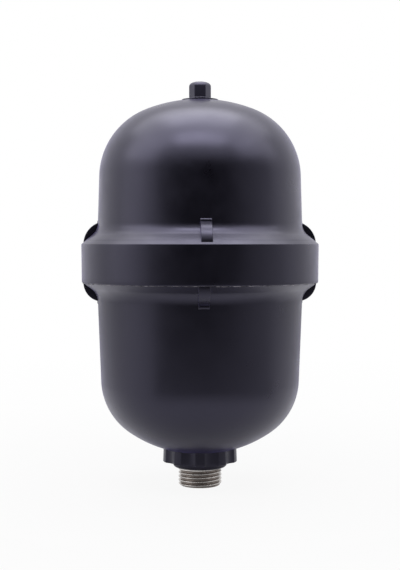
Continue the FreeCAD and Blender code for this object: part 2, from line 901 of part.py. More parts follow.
def core_pin():
    """Pin that is pushed down to let air through, with the collar that the spring lifts."""
    body = new_body("core_pin")
    collar = s["pin_radius"] + s["pin_collar_reach"]
    collar_bottom = spring_top + s["pin_collar_gap"]
    revolve(
        body,
        "pin_form",
        (0, cup_bottom - s["pin_tail"]),
        (s["pin_radius"], cup_bottom - s["pin_tail"]),
        (s["pin_radius"], collar_bottom),
        (collar, collar_bottom),
        (collar, collar_bottom + s["pin_collar_height"]),
        (s["pin_radius"], collar_bottom + s["pin_collar_height"]),
        (s["pin_radius"], stem_top - s["pin_sink"]),
        (0, stem_top - s["pin_sink"]),
    )
    return body


def core_cup():
    """Cup crimped to the pin's tail, open upwards round the rubber that shuts the barrel."""
    body = new_body("core_cup")
    pocket_radius = cup_radius - s["cup_wall"]
    pocket_floor = cup_seal_top - s["cup_seal_height"]
    revolve(
        body,
        "cup_form",
        (s["pin_radius"], cup_bottom),
        (cup_radius, cup_bottom),
        (cup_radius, cup_top),
        (pocket_radius, cup_top),
        (pocket_radius, pocket_floor),
        (s["pin_radius"], pocket_floor),
    )
    return body


def core_cup_seal():
    """Rubber ring in the cup."""
    body = new_body("core_cup_seal")
    outside = cup_radius - s["cup_wall"]
    revolve(
        body,
        "cup_seal_form",
        (s["pin_radius"], cup_seal_top - s["cup_seal_height"]),
        (outside, cup_seal_top - s["cup_seal_height"]),
        (outside, cup_seal_top),
        (s["pin_radius"], cup_seal_top),
    )
    return body


def core_spring():
    """Coil spring round the pin, from the barrel's floor up to the pin's collar."""
    wire = s["spring_wire"]
    radius = s["pin_radius"] + s["spring_reach"]
    helix = doc.addObject("Part::Helix", "spring_line")
    helix.setExpression("Radius", radius.text)
    helix.setExpression("Pitch", s["spring_pitch"].text)
    helix.setExpression("Height", (s["spring_length"] - wire * 2 - s["seal_clearance"]).text)
    section = doc.addObject("Part::Circle", "spring_section")
    section.setExpression("Radius", wire.text)
    section.Placement = FreeCAD.Placement(FreeCAD.Vector(), FreeCAD.Rotation(FreeCAD.Vector(1, 0, 0), 90))
    section.setExpression(".Placement.Base.x", radius.text)
    coil = doc.addObject("Part::Sweep", "core_spring")
    coil.Label = "core_spring"
    doc.recompute()
    coil.Sections = [section]
    coil.Spine = (helix, ["Edge1"])
    coil.Solid = True
    coil.Frenet = True
    coil.setExpression(".Placement.Base.z", (spring_seat + wire + s["seal_clearance"]).text)
    doc.recompute()
    return coil


cap_bottom = derive("cap_bottom", ring_top + s["seat_gap"])
cap_peak = derive("cap_peak", cap_bottom + s["cap_height"])


def valve_cap():
    """Hexagonal screw cap with its upper corners turned round."""
    body = new_body("valve_cap")
    profile = new_sketch(body, "hexagon_outline", "XY_Plane", cap_bottom)
    flat = half(s["cap_flats"])
    corner = s["cap_flats"] / root(as_size(3))
    turned = corner + s["cap_corner_margin"]
    outline(
        profile,
        (corner, 0),
        (half(corner), flat),
        (0 - half(corner), flat),
        (0 - corner, 0),
        (0 - half(corner), 0 - flat),
        (half(corner), 0 - flat),
    )
    pad(body, "hexagon", profile, s["cap_height"])
    inside = turned - s["cap_round"]
    outside = turned + s["cap_round"]
    groove(
        body,
        "corner_round",
        (inside, cap_peak),
        (turned, cap_peak - s["cap_round"], s["cap_round"], "right"),
        (outside, cap_peak - s["cap_round"]),
        (outside, cap_peak + s["cap_round"]),
        (inside, cap_peak + s["cap_round"]),
    )
    bore = new_sketch(body, "cap_bore_outline", "XY_Plane", cap_bottom)
    circle_at(bore, 0, 0, valve_thread + s["cap_clearance"])
    pocket(body, "cap_bore", bore, s["cap_height"] - s["cap_top"])
    return body


def cap_seal():
    """Rubber disc in the roof of the cap."""
    disc = doc.addObject("Part::Cylinder", "cap_seal")
    disc.Label = "cap_seal"
    disc.setExpression("Radius", (valve_thread - s["cap_seal_clearance"]).text)
    disc.setExpression("Height", s["cap_seal_thickness"].text)
    roof = cap_peak - s["cap_top"] - s["cap_roof_gap"]
    disc.setExpression(".Placement.Base.z", (roof - s["cap_seal_thickness"]).text)
    doc.recompute()
    return disc


pieces = [
    upper_shell(),
    lower_shell(),
    diaphragm(),
    clamp_ring(),
    connector(),
    connector_seal(),
    port_collar(),
    valve_body(),
    valve_seal(),
    core_plug(),
    core_barrel(),
    core_barrel_seal(),
    core_pin(),
    core_cup(),
    core_cup_seal(),
    core_spring(),
    valve_cap(),
    cap_seal(),
]

doc.recompute()
for item in doc.Objects:
    if {"Invalid", "Error"} & set(item.State):
        raise RuntimeError(f"{item.Name} did not build: {item.State}")
for piece in pieces:
    if piece.Shape.isNull() or not piece.Shape.isValid():
        raise RuntimeError(f"{piece.Label} is not a valid solid")

os.makedirs("parts", exist_ok=True)
for piece in pieces:
    piece.Shape.exportStep(f"parts/{piece.Label}.step")
    box = piece.Shape.BoundBox
    count = len(piece.Shape.Solids)
    reach = f"z {box.ZMin:8.2f} {box.ZMax:8.2f}"
    print(f"{piece.Label:18s} {count} solid {piece.Shape.Volume:10.1f} mm3  {reach}")
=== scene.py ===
"""Looks of a small black expansion tank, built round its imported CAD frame.

The moulded halves, the lobed collar, the screw port, the valve's stem and spring and the cap are modelled
again with their rounded edges and threads; the other parts inside keep their CAD shapes and get finishes.
Metres, +Z up.
"""

import math

import bmesh
import bpy
from bpy.props import FloatProperty, FloatVectorProperty, IntProperty, PointerProperty
from mathutils import Matrix, Vector, noise


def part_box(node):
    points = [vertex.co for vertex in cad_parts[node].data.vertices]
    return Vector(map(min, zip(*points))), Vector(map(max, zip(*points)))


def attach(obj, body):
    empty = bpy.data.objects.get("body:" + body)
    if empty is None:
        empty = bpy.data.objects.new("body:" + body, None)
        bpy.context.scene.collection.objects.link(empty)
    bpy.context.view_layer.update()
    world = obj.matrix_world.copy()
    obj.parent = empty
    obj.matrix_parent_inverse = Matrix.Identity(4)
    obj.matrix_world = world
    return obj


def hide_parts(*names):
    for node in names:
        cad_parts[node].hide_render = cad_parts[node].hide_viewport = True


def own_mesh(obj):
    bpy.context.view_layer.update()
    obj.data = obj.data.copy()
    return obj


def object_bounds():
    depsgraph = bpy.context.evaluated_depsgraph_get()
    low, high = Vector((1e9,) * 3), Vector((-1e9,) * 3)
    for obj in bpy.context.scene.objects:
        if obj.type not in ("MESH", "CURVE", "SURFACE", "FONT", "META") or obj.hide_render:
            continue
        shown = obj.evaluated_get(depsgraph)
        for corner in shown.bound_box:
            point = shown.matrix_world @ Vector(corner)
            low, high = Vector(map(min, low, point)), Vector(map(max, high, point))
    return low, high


bl_info = {
    "name": "Expansion tank",
    "version": (1, 0, 0),
    "blender": (4, 5, 0),
    "location": "3D View > Sidebar > Tank",
    "description": "Builds the looks of a small expansion tank on its CAD frame",
    "category": "Object",
}

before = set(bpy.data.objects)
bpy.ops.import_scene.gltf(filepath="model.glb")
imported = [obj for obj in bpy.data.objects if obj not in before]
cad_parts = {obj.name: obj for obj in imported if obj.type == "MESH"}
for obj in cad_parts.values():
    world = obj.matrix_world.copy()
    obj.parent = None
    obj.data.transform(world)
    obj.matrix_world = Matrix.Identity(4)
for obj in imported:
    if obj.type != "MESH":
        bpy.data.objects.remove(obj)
CAD_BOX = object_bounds()
MM = 0.001
TURN = 2 * math.pi


# Sizes and colours


def length(name, text, millimetres):
    return FloatProperty(name=name, description=text, default=millimetres * MM, unit="LENGTH", precision=5)


def number(name, text, value):
    return FloatProperty(name=name, description=text, default=value, precision=4)


def colour(name, text, value):
    return FloatVectorProperty(
        name=name, description=text, default=value, size=3, min=0, max=1, subtype="COLOR"
    )


class TankShellSizes(bpy.types.PropertyGroup):
    band_radius: length("Band radius", "Outside of the waist band at its top", 57.8)
    band_draft: length("Band draft", "How much the band narrows to its foot", 0.25)
    band_top: length("Band top", "Level of the band's upper edge", 108.587)
    weld_level: length("Weld level", "Level where the two halves meet", 89.987)
    rim_round: length("Rim rounding", "Rounding of the band's upper edge", 0.22)
    foot_round: length("Foot rounding", "Rounding of the band's lower edge", 0.5)
    land: length("Land", "Width of the band's sloping land above its upper edge", 2.1)
    land_slope: number("Land slope", "Rise of the land over its width", 0.86)
    crease_width: length("Crease width", "Width of the crease between the land and the flare", 0.12)
    crease_height: length("Crease height", "Height of the crease between the land and the flare", 0.2)
    crease_round: length("Crease rounding", "Rounding where the crease meets the flare", 0.12)
    land_round: length("Land rounding", "Rounding where the land meets the crease", 0.1)
    skirt_wall: length("Skirt wall", "Thickness of the band", 4.2)
    wall: length("Wall", "Thickness of the domes", 3.2)
    inner_rise: length("Inner rise", "How far above the band the flare starts inside", 3.4)
    shoulder_inset: length("Shoulder inset", "How far the shoulder stands inside the skirt", 3.4)
    shoulder_rise: length("Shoulder rise", "Level of the shoulder over the weld", 14.6)
    inset: length("Flange inset", "How far the lower flange stands inside the band", 0.8)
    tongue_gap: length("Tongue gap", "Play between the skirt and the lower half's tongue", 0.2)
    tongue_wall: length("Tongue wall", "Thickness of the lower half's tongue", 3.2)
    tongue_height: length("Tongue height", "Height of the tongue over the weld", 6)
    tongue_root: length("Tongue root", "How far the tongue's inside goes below the weld", 1.5)
    inner_drop: length("Inner drop", "How far below the weld the lower wall starts inside", 6)
    lug_width: length("Lug width", "Thickness of a drive lug", 5.3)
    lug_inset: length("Lug inset", "How far a lug stands inside the band's edge", 1.05)
    lug_tongue: length("Lug tongue", "How far a lug's end stands out of the wall", 0.3)
    lug_root: length("Lug root", "How far a lug's foot stands off the shoulder", 1.5)
    lug_end: length("Lug end", "Rounding of a lug's end", 1.7)
    lug_corner: length("Lug corners", "Rounding of the corners at a lug's end", 1.25)
    lug_edge: length("Lug edge", "Rounding of a lug's edges", 0.5)
    lug_count: IntProperty(name="Lugs", description="Drive lugs on each half", default=4, min=1)
    flash_reach: length("Flash reach", "How far the weld's flash stands out", 0.55)


class TankBossSizes(bpy.types.PropertyGroup):
    radius: length("Boss radius", "Outside of the valve boss under the dome", 8.2)
    depth: length("Boss depth", "From the pad down to the boss's lower end", 15.1)
    hole: length("Boss hole", "Radius of the hole that holds the valve", 4.55)
    pad_radius: length("Pad radius", "Radius of the flat pad on the crown", 8.95)
    pad_rise: length("Pad rise", "How far the pad stands over the crown", 0.1)
    pad_round: length("Pad rounding", "Rounding of the pad's edge", 0.06)
    ring_radius: length("Ring radius", "Radius of the raised ring round the valve", 5.57)
    ring_rise: length("Ring rise", "How far the ring stands over the crown", 1)
    ring_chamfer: length("Ring chamfer", "Chamfer of the ring's edge", 0.2)


class TankUpperSizes(bpy.types.PropertyGroup):
    pole: length("Pole", "Level of the dome's crown", 179.2)
    waist: length("Waist", "How far the wall stands inside the band", 8.65)
    knuckle_ring: length("Knuckle ring", "Wall radius less the knuckle's radius", 13.65)
    crown_extra: length("Crown", "Crown's radius less the wall's", 22.85)
    draft: number("Draft", "Taper of the wall", 0.027)
    flare_slope: number("Flare slope", "Slope of the flare above the band", 0.81)
    flare_round: length("Flare hollow", "Hollow between the wall and the flare", 7.3)
    lug_radius: length("Lug radius", "Radius of a lug's outline", 11.2)
    lug_height: length("Lug height", "Reach of a lug above the band", 12.35)
    lug_turn: number("Lug turn", "Degrees the lugs are turned by", 3.2)


class TankLowerSizes(bpy.types.PropertyGroup):
    pole: length("Pole", "Level of the dome's crown", 6.8)
    waist: length("Waist", "How far the wall stands inside the band", 9.62)
    knuckle_ring: length("Knuckle ring", "Wall radius less the knuckle's radius", 17.18)
    crown_extra: length("Crown", "Crown's radius less the wall's", 12.82)
    draft: number("Draft", "Taper of the wall", 0.041)
    flare_slope: number("Flare slope", "Slope of the flare below the band", 0.754)
    flare_round: length("Flare hollow", "Hollow between the wall and the flare", 8)
    lug_radius: length("Lug radius", "Radius of a lug's outline", 9.3)
    lug_height: length("Lug height", "Reach of a lug below the band", 11.25)
    lug_turn: number("Lug turn", "Degrees the lugs are turned by", 2.1)


class TankPortSizes(bpy.types.PropertyGroup):
    crest: length("Thread crest", "Radius over the port thread", 10.4775)
    pitch: length("Thread pitch", "Pitch of the half-inch pipe thread", 1.814)
    depth: length("Thread depth", "Depth of the port thread", 1.05)
    fade: length("Thread fade", "Length over which the thread runs out at the shoulder", 0.9)
    nose: length("Nose", "Level of the port's lower end", -8.9)
    nose_drop: length("Nose drop", "How far the nose stands inside the thread's crest", 1.18)
    nose_slope: number("Nose slope", "How fast the nose's chamfer widens", 1.31)
    shank: length("Shank radius", "Radius of the port inside the collar", 10.7275)
    bore: length("Bore", "Radius of the port's bore", 7.4975)
    head: length("Head radius", "Radius of the port's head inside the tank", 14.8075)
    head_low: length("Head foot", "Level of the head's underside", 11.5)
    head_top: length("Head top", "Level of the head's upper face", 13.8)
    chamfer: length("Port chamfer", "Chamfer of the bore's mouth and of the head", 0.5)
    grid_hole: length("Grid hole", "Radius of a hole in the port's grid", 1.6)
    grid_thickness: length("Grid thickness", "Thickness of the port's grid", 1.8)
    grid_margin: length("Grid margin", "Solid rim of the grid", 1)
    grid_lip: length("Grid lip", "How far the grid's seat stands into the bore", 0.3)
    grid_count: IntProperty(name="Grid holes", description="Holes round the middle one", default=6, min=3)
    hole: length("Shell hole", "Radius of the hole in the lower dome and the collar", 10.8075)
    seat: length("Seat radius", "Radius of the head's seat in the lower dome", 15.5075)
    seat_level: length("Seat level", "Level of the head's seat", 11.4)
    groove_inner: length("Groove inside", "Inner radius of the seal's groove", 11.4575)
    groove_outer: length("Groove outside", "Outer radius of the seal's groove", 13.7575)
    groove_depth: length("Groove depth", "Depth of the seal's groove", 1.7)


class TankCollarSizes(bpy.types.PropertyGroup):
    drum: length("Drum", "Radius of the collar's drum", 13.2)
    drum_height: length("Drum height", "Height of the collar's drum", 3)
    drum_round: length("Drum rounding", "Rounding of the collar's lower edge", 1.8)
    drum_chamfer: length("Drum chamfer", "Chamfer between the drum and the lobes", 0.3)
    mouth: length("Mouth chamfer", "Chamfer of the hole's lower edge", 0.2)
    crest: length("Lobe crest", "Radius over the collar's lobes", 18.3)
    lobe_draft: length("Lobe draft", "How much the lobes widen to their foot", 0.18)
    lobe_top: length("Lobe top", "How far the lobes' sides end below the dome", 0.6)
    lobe_lean: length("Lobe lean", "How far the lobes' upper edges stand in", 0.2)
    lobe_round: length("Lobe rounding", "Rounding of the lobes' lower edges", 0.45)
    lobe_edge: length("Lobe edge", "Softening where a lobe meets a flute", 0.35)
    lobe_count: IntProperty(name="Lobes", description="Lobes round the collar", default=10, min=3)
    lobe_turn: number("Lobe turn", "Degrees the collar is turned by", 18)
    flute_radius: length("Flute radius", "Radius of the hollows between the lobes", 7.2)
    flute_depth: length("Flute depth", "Depth of the hollows between the lobes", 1.2)
    weld_gap: length("Weld gap", "Gap between the collar and the dome", 0.05)


class TankValveSizes(bpy.types.PropertyGroup):
    pitch: length("Valve pitch", "Pitch of the valve's outside thread", 0.794)
    depth: length("Valve thread depth", "Depth of the valve's outside thread", 0.43)
    crest: length("Valve thread crest", "Radius over the valve's outside thread", 3.85)
    chamfer: length("Valve chamfer", "Chamfer at the valve's mouth", 0.45)
    shank: length("Valve shank", "Radius of the valve in its boss", 4.5)
    flange: length("Valve flange", "Radius of the valve's flange", 6.6)
    flange_height: length("Flange height", "Thickness of the valve's flange", 1.4)
    seal_drop: length("Seal drop", "From the boss's top down to the seal's middle", 8.9)
    seal_half: length("Seal groove", "Half the width of the seal's groove", 0.7)
    seal_floor: length("Seal floor", "Radius of the seal's groove at its floor", 3.6)
    bore: length("Valve bore", "Radius of the valve's lower bore", 2.05)
    core_bore: length("Core bore", "Radius of the bore that holds the core", 2.6)
    core_depth: length("Core depth", "From the valve's mouth down to the taper", 4.65)
    taper_depth: length("Taper depth", "From the valve's mouth down to the taper's end", 6.85)
    cap_flats: length("Cap flats", "Width of the cap across its flats", 9.4)
    cap_round: length("Cap rounding", "Height of the rounding over the cap's sides", 2.25)
    cap_crown: length("Cap crown", "How far the cap's rounding reaches in over its top", 2.45)
    cap_corner: length("Cap corners", "How far the cap's six corners are blunted", 0.105)
    cap_foot: length("Cap foot", "Height of the chamfer at the cap's foot", 0.2)
    cap_chamfer: length("Cap chamfer", "Width of the chamfer at the cap's foot", 0.12)
    cap_bore: length("Cap bore", "Radius of the cap's bore", 3.93)
    cap_roof: length("Cap roof", "Thickness of the cap over its bore", 1)
    cap_thread: length("Cap thread", "Depth of the thread in the cap", 0.35)
    spring_wire: length("Spring wire", "Radius of the valve spring's wire", 0.13)
    spring_pitch: length("Spring pitch", "Rise of the valve spring in one turn", 0.88)
    pin_travel: length("Pin travel", "How far the valve pin presses the spring together", 1.2)


class TankFinish(bpy.types.PropertyGroup):
    shell: colour("Shell", "Black plastic of the two halves", (0.0028, 0.0025, 0.0046))
    collar: colour("Collar", "Black plastic of the collar", (0.0045, 0.004, 0.0065))
    cap: colour("Cap", "Plastic of the valve cap", (0.008, 0.0072, 0.0125))
    sheen: colour("Sheen", "Tint of the black plastics' reflections", (0.73, 0.7, 1.0))
    haze: colour("Haze", "Tint of the black plastics' soft haze", (0.47, 0.4, 1.0))
    haze_weight: number("Haze weight", "Strength of the haze", 0.28)
    haze_roughness: number("Haze roughness", "Spread of the haze", 0.35)
    flash: colour("Flash", "Plastic squeezed out by the weld", (0.55, 0.52, 0.58))
    weld: colour("Weld", "Plastic of the weld where it stays dark", (0.012, 0.011, 0.015))
    metal: colour("Port metal", "Metal of the screw port", (0.62, 0.59, 0.57))
    brass: colour("Brass", "Metal of the valve", (0.72, 0.53, 0.25))
    # Thread roots: painted shade, a darker colour painted into the port thread's roots where shade falls.
    roots: colour("Thread roots", "Darkened metal in the port thread's roots", (0.27, 0.235, 0.215))
    rubber: colour("Rubber", "Seals and diaphragm", (0.022, 0.021, 0.021))
    nylon: colour("Ring plastic", "Pale plastic of the clamp ring", (0.6, 0.59, 0.55))
    spring: colour("Spring wire", "Steel of the valve spring", (0.58, 0.58, 0.58))
    floor: colour("Floor", "Pale studio floor", (0.72, 0.72, 0.73))
    # Screen: its base colour is replaced by a painted glow that shows only in reflections.
    screen: colour("Screen", "Dark screen in front of the tank", (0.02, 0.02, 0.02))


class TankStage(bpy.types.PropertyGroup):
    distance: length("Camera distance", "From the tank's axis to the camera", 587)
    eye: length("Camera height", "Level of the camera, at the band's upper edge", 108.6)
    lens: number("Lens", "Focal length in millimetres on a 36 mm sensor", 75.79)
    shift: number("Lens shift", "Lowers the view to the tank's middle", -0.0716)
    top_light: number("Top light", "Watts of the overhead softbox", 6)
    wide_light: number("Wide light", "Watts of the wide overhead reflector", 28.5)
    side_panels: number("Side panels", "Watts of the reflector panel on each side", 3.3)
    front_light: number("Front light", "Watts of the softbox above the camera", 4.6)
    side_light: number("Side light", "Watts of the tall softbox on the left", 1.6)
    room: number("Room light", "Strength of the room's diffuse light", 0.2)
    screen_near: length("Screen's near edge", "Radius where the screen's apron starts", 130)
    screen_far: length("Screen's far edge", "Radius where the screen stands up", 800)
    screen_top: length("Screen's top", "Level of the screen's upper edge", 500)


# Mesh helpers


def arc(centre, radius, first, last, steps):
    """Points of an arc in the half plane of radius and level, angles in radians from the outward axis."""
    points = []
    for i in range(steps + 1):
        a = first + (last - first) * i / steps
        points.append((centre[0] + radius * math.cos(a), centre[1] + radius * math.sin(a)))
    return points


def ring_of(radius, level, count):
    return [
        (radius * math.cos(TURN * k / count), radius * math.sin(TURN * k / count), level)
        for k in range(count)
    ]


def rings_of(outline, count):
    """One ring for each (radius, level) of an outline."""
    return [ring_of(radius, level, count) for radius, level in outline]


def skin(name, rings, closed=False):
    """A mesh skinned over rings of points, each ring closed; closed joins the last ring to the first."""
    merge = 1e-7
    bm = bmesh.new()
    rows = [[bm.verts.new(p) for p in ring] for ring in rings]
    last = len(rows) if closed else len(rows) - 1
    for i in range(last):
        low, high = rows[i], rows[(i + 1) % len(rows)]
        for k in range(len(low)):
            n = (k + 1) % len(low)
            bm.faces.new((low[k], low[n], high[n], high[k]))
    bmesh.ops.remove_doubles(bm, verts=bm.verts, dist=merge)
    bmesh.ops.recalc_face_normals(bm, faces=bm.faces)
    return to_object(name, bm)


def smooth(mesh, sharp=40):
    """Smooth shading, with the edges left sharp that turn by more than some degrees."""
    mesh.shade_smooth()
    mesh.set_sharp_from_angle(angle=math.radians(sharp))


def link(name, data):
    piece = bpy.data.objects.new(name, data)
    bpy.context.scene.collection.objects.link(piece)
    return piece


def to_object(name, bm, sharp=40):
    mesh = bpy.data.meshes.new(name)
    bm.to_mesh(mesh)
    bm.free()
    smooth(mesh, sharp)
    return link(name, mesh)


def add_mesh(piece, other):
    """Joins another piece's mesh into this one and removes the other."""
    bm = bmesh.new()
    bm.from_mesh(piece.data)
    other.data.transform(other.matrix_world)
    bm.from_mesh(other.data)
    bm.to_mesh(piece.data)
    bm.free()
    bpy.data.objects.remove(other)
    smooth(piece.data)


def dress(piece, material):
    piece.data.materials.clear()
    piece.data.materials.append(material)


def settle(piece, body, slot, *nodes):
    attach(piece, body)
    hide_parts(*nodes)


# Shape of one half


class Dome:
    """Outline of one half: a drafted wall, a knuckle and a crown. Up is 1 for the upper half, or -1."""

    def __init__(self, up, half, band_radius):
        wall_radius = band_radius - half.waist
        self.up = up
        self.half = half
        self.draft = half.draft
        self.pole = half.pole
        self.knuckle = wall_radius - half.knuckle_ring
        self.crown = wall_radius + half.crown_extra
        self.wall_angle = math.atan(self.draft)
        self.knuckle_x = wall_radius - self.knuckle / math.sqrt(1 + self.draft**2)
        reach = self.crown - self.knuckle
        drop = math.sqrt(reach**2 - self.knuckle_x**2)
        self.crown_z = self.pole - up * self.crown
        self.knuckle_z = self.crown_z + up * drop
        self.joint_angle = math.atan2(drop, self.knuckle_x)

    def start(self, inset=0.0):
        """Where the wall ends and the knuckle begins."""
        a = self.wall_angle
        radius = self.knuckle - inset
        return self.knuckle_x + radius * math.cos(a), self.knuckle_z + self.up * radius * math.sin(a)

    def wall_at(self, level, inset=0.0):
        """Radius of the wall at a level."""
        x, z = self.start(inset)
        return x + self.up * self.draft * (z - level)

    def height(self, radius, inset=0.0):
        """Level of the crown at a radius."""
        crown = self.crown - inset
        return self.crown_z + self.up * math.sqrt(crown**2 - radius**2)

    def cover(self, end_radius, inset=0.0):
        """Points from the wall's end over the knuckle and the crown to a radius near the axis."""
        up = self.up
        knuckle = (self.knuckle_x, self.knuckle_z)
        bend = arc(knuckle, self.knuckle - inset, up * self.wall_angle, up * self.joint_angle, steps=40)
        crown = self.crown - inset
        last = math.acos(end_radius / crown)
        top = arc((0.0, self.crown_z), crown, up * self.joint_angle, up * last, steps=48)
        return bend + top[1:]

    def flare(self, corner):
        """Points from the wall round a hollow to the cone that runs out to the corner."""
        x, z = self.start()
        radius, steep = self.half.flare_round, 1 / self.half.flare_slope
        wall_line = x + self.draft * self.up * z + radius * math.sqrt(1 + self.draft**2)
        cone_line = corner[0] + steep * self.up * corner[1] + radius * math.sqrt(1 + steep**2)
        rise = (cone_line - wall_line) / (steep - self.draft)
        centre = (wall_line - self.draft * rise, self.up * rise)
        first = math.pi + self.up * self.wall_angle
        last = math.pi + self.up * math.atan(steep)
        return arc(centre, radius, first, last, steps=20)


def dome_of(up):
    scene = bpy.context.scene
    half = scene.tank_upper if up > 0 else scene.tank_lower
    return Dome(up, half, scene.tank_shell.band_radius)


def rounded(points, corner, radius, steps=6):
    """The outline with one corner turned round; corner is its place in the list."""
    before, here, after = (Vector(points[corner + k]) for k in (-1, 0, 1))
    to_before, to_after = (before - here).normalized(), (after - here).normalized()
    half_angle = to_before.angle(to_after) / 2
    cut = radius / math.tan(half_angle)
    middle = here + (to_before + to_after).normalized() * (radius / math.sin(half_angle))
    first = here + to_before * cut - middle
    last = here + to_after * cut - middle
    turn = first.angle_signed(last)
    arc_points = []
    for i in range(steps + 1):
        spoke = first.copy()
        spoke.rotate(Matrix.Rotation(-turn * i / steps, 2))
        arc_points.append(tuple(middle + spoke))
    return points[:corner] + arc_points + points[corner + 1 :]


def fine(points):
    """The outline with its long straight runs divided."""
    step, most = 1.6 * MM, 24
    result = []
    for i, point in enumerate(points):
        start, end = Vector(points[i - 1]), Vector(point)
        count = max(1, min(most, int((end - start).length / step)))
        result += [tuple(start.lerp(end, k / count)) for k in range(1, count + 1)]
    return result


def lug_outline(dome, level, inner_radius):
    """Quarter disc beside the band that runs out in a thin round-ended tongue up the wall."""
    shell, half, up = bpy.context.scene.tank_shell, dome.half, dome.up
    lug, end_round = half.lug_radius, shell.lug_end
    centre = shell.band_radius - shell.lug_inset - lug
    end = level + up * half.lug_height
    tongue = dome.wall_at(end) + shell.lug_tongue
    lift = math.acos((tongue - centre) / lug)
    outer = arc((centre, level), lug, 0.0, up * lift, steps=28)
    tip = arc((tongue - end_round, end - up * end_round), end_round, 0.0, up * math.pi / 2, steps=8)
    return [(inner_radius, level)] + outer + tip + [(tongue - end_round, level + up * lug / 2)]


def lug_piece(name, outline):
    """One drive lug, a thick plate with rounded edges, standing in the plane of X and Z."""
    shell = bpy.context.scene.tank_shell
    half_width, corner, same = shell.lug_width / 2, shell.lug_corner, 1e-9
    bm = bmesh.new()
    face = bm.faces.new([bm.verts.new((x, -half_width, z)) for x, z in outline])
    grown = bmesh.ops.extrude_face_region(bm, geom=[face])
    moved = [v for v in grown["geom"] if isinstance(v, bmesh.types.BMVert)]
    bmesh.ops.translate(bm, verts=moved, vec=(0, shell.lug_width, 0))
    bmesh.ops.recalc_face_normals(bm, faces=bm.faces)
    side_edges = [e for e in bm.edges if abs(e.verts[0].co.y - e.verts[1].co.y) < same]
    bmesh.ops.bevel(
        bm, geom=side_edges, offset=shell.lug_edge, offset_type="OFFSET", segments=4, profile=0.5,
        affect="EDGES", clamp_overlap=True,
    )
    end = outline[-2][1]
    for vert in bm.verts:
        near = corner - abs(end - vert.co.z)
        if near > 0:
            limit = half_width - corner + math.sqrt(max(0.0, corner**2 - near**2))
            vert.co.y = max(-limit, min(limit, vert.co.y))
    return to_object(name, bm, sharp=30)


def add_lugs(piece, dome, level, inner_radius):
    count = bpy.context.scene.tank_shell.lug_count
    outline = lug_outline(dome, level, inner_radius)
    for k in range(count):
        lug = lug_piece(f"{piece.name}_lug", outline)
        turn = math.radians(dome.half.lug_turn) + TURN * k / count
        lug.matrix_world = Matrix.Rotation(turn, 4, "Z")
        add_mesh(piece, lug)


# Materials


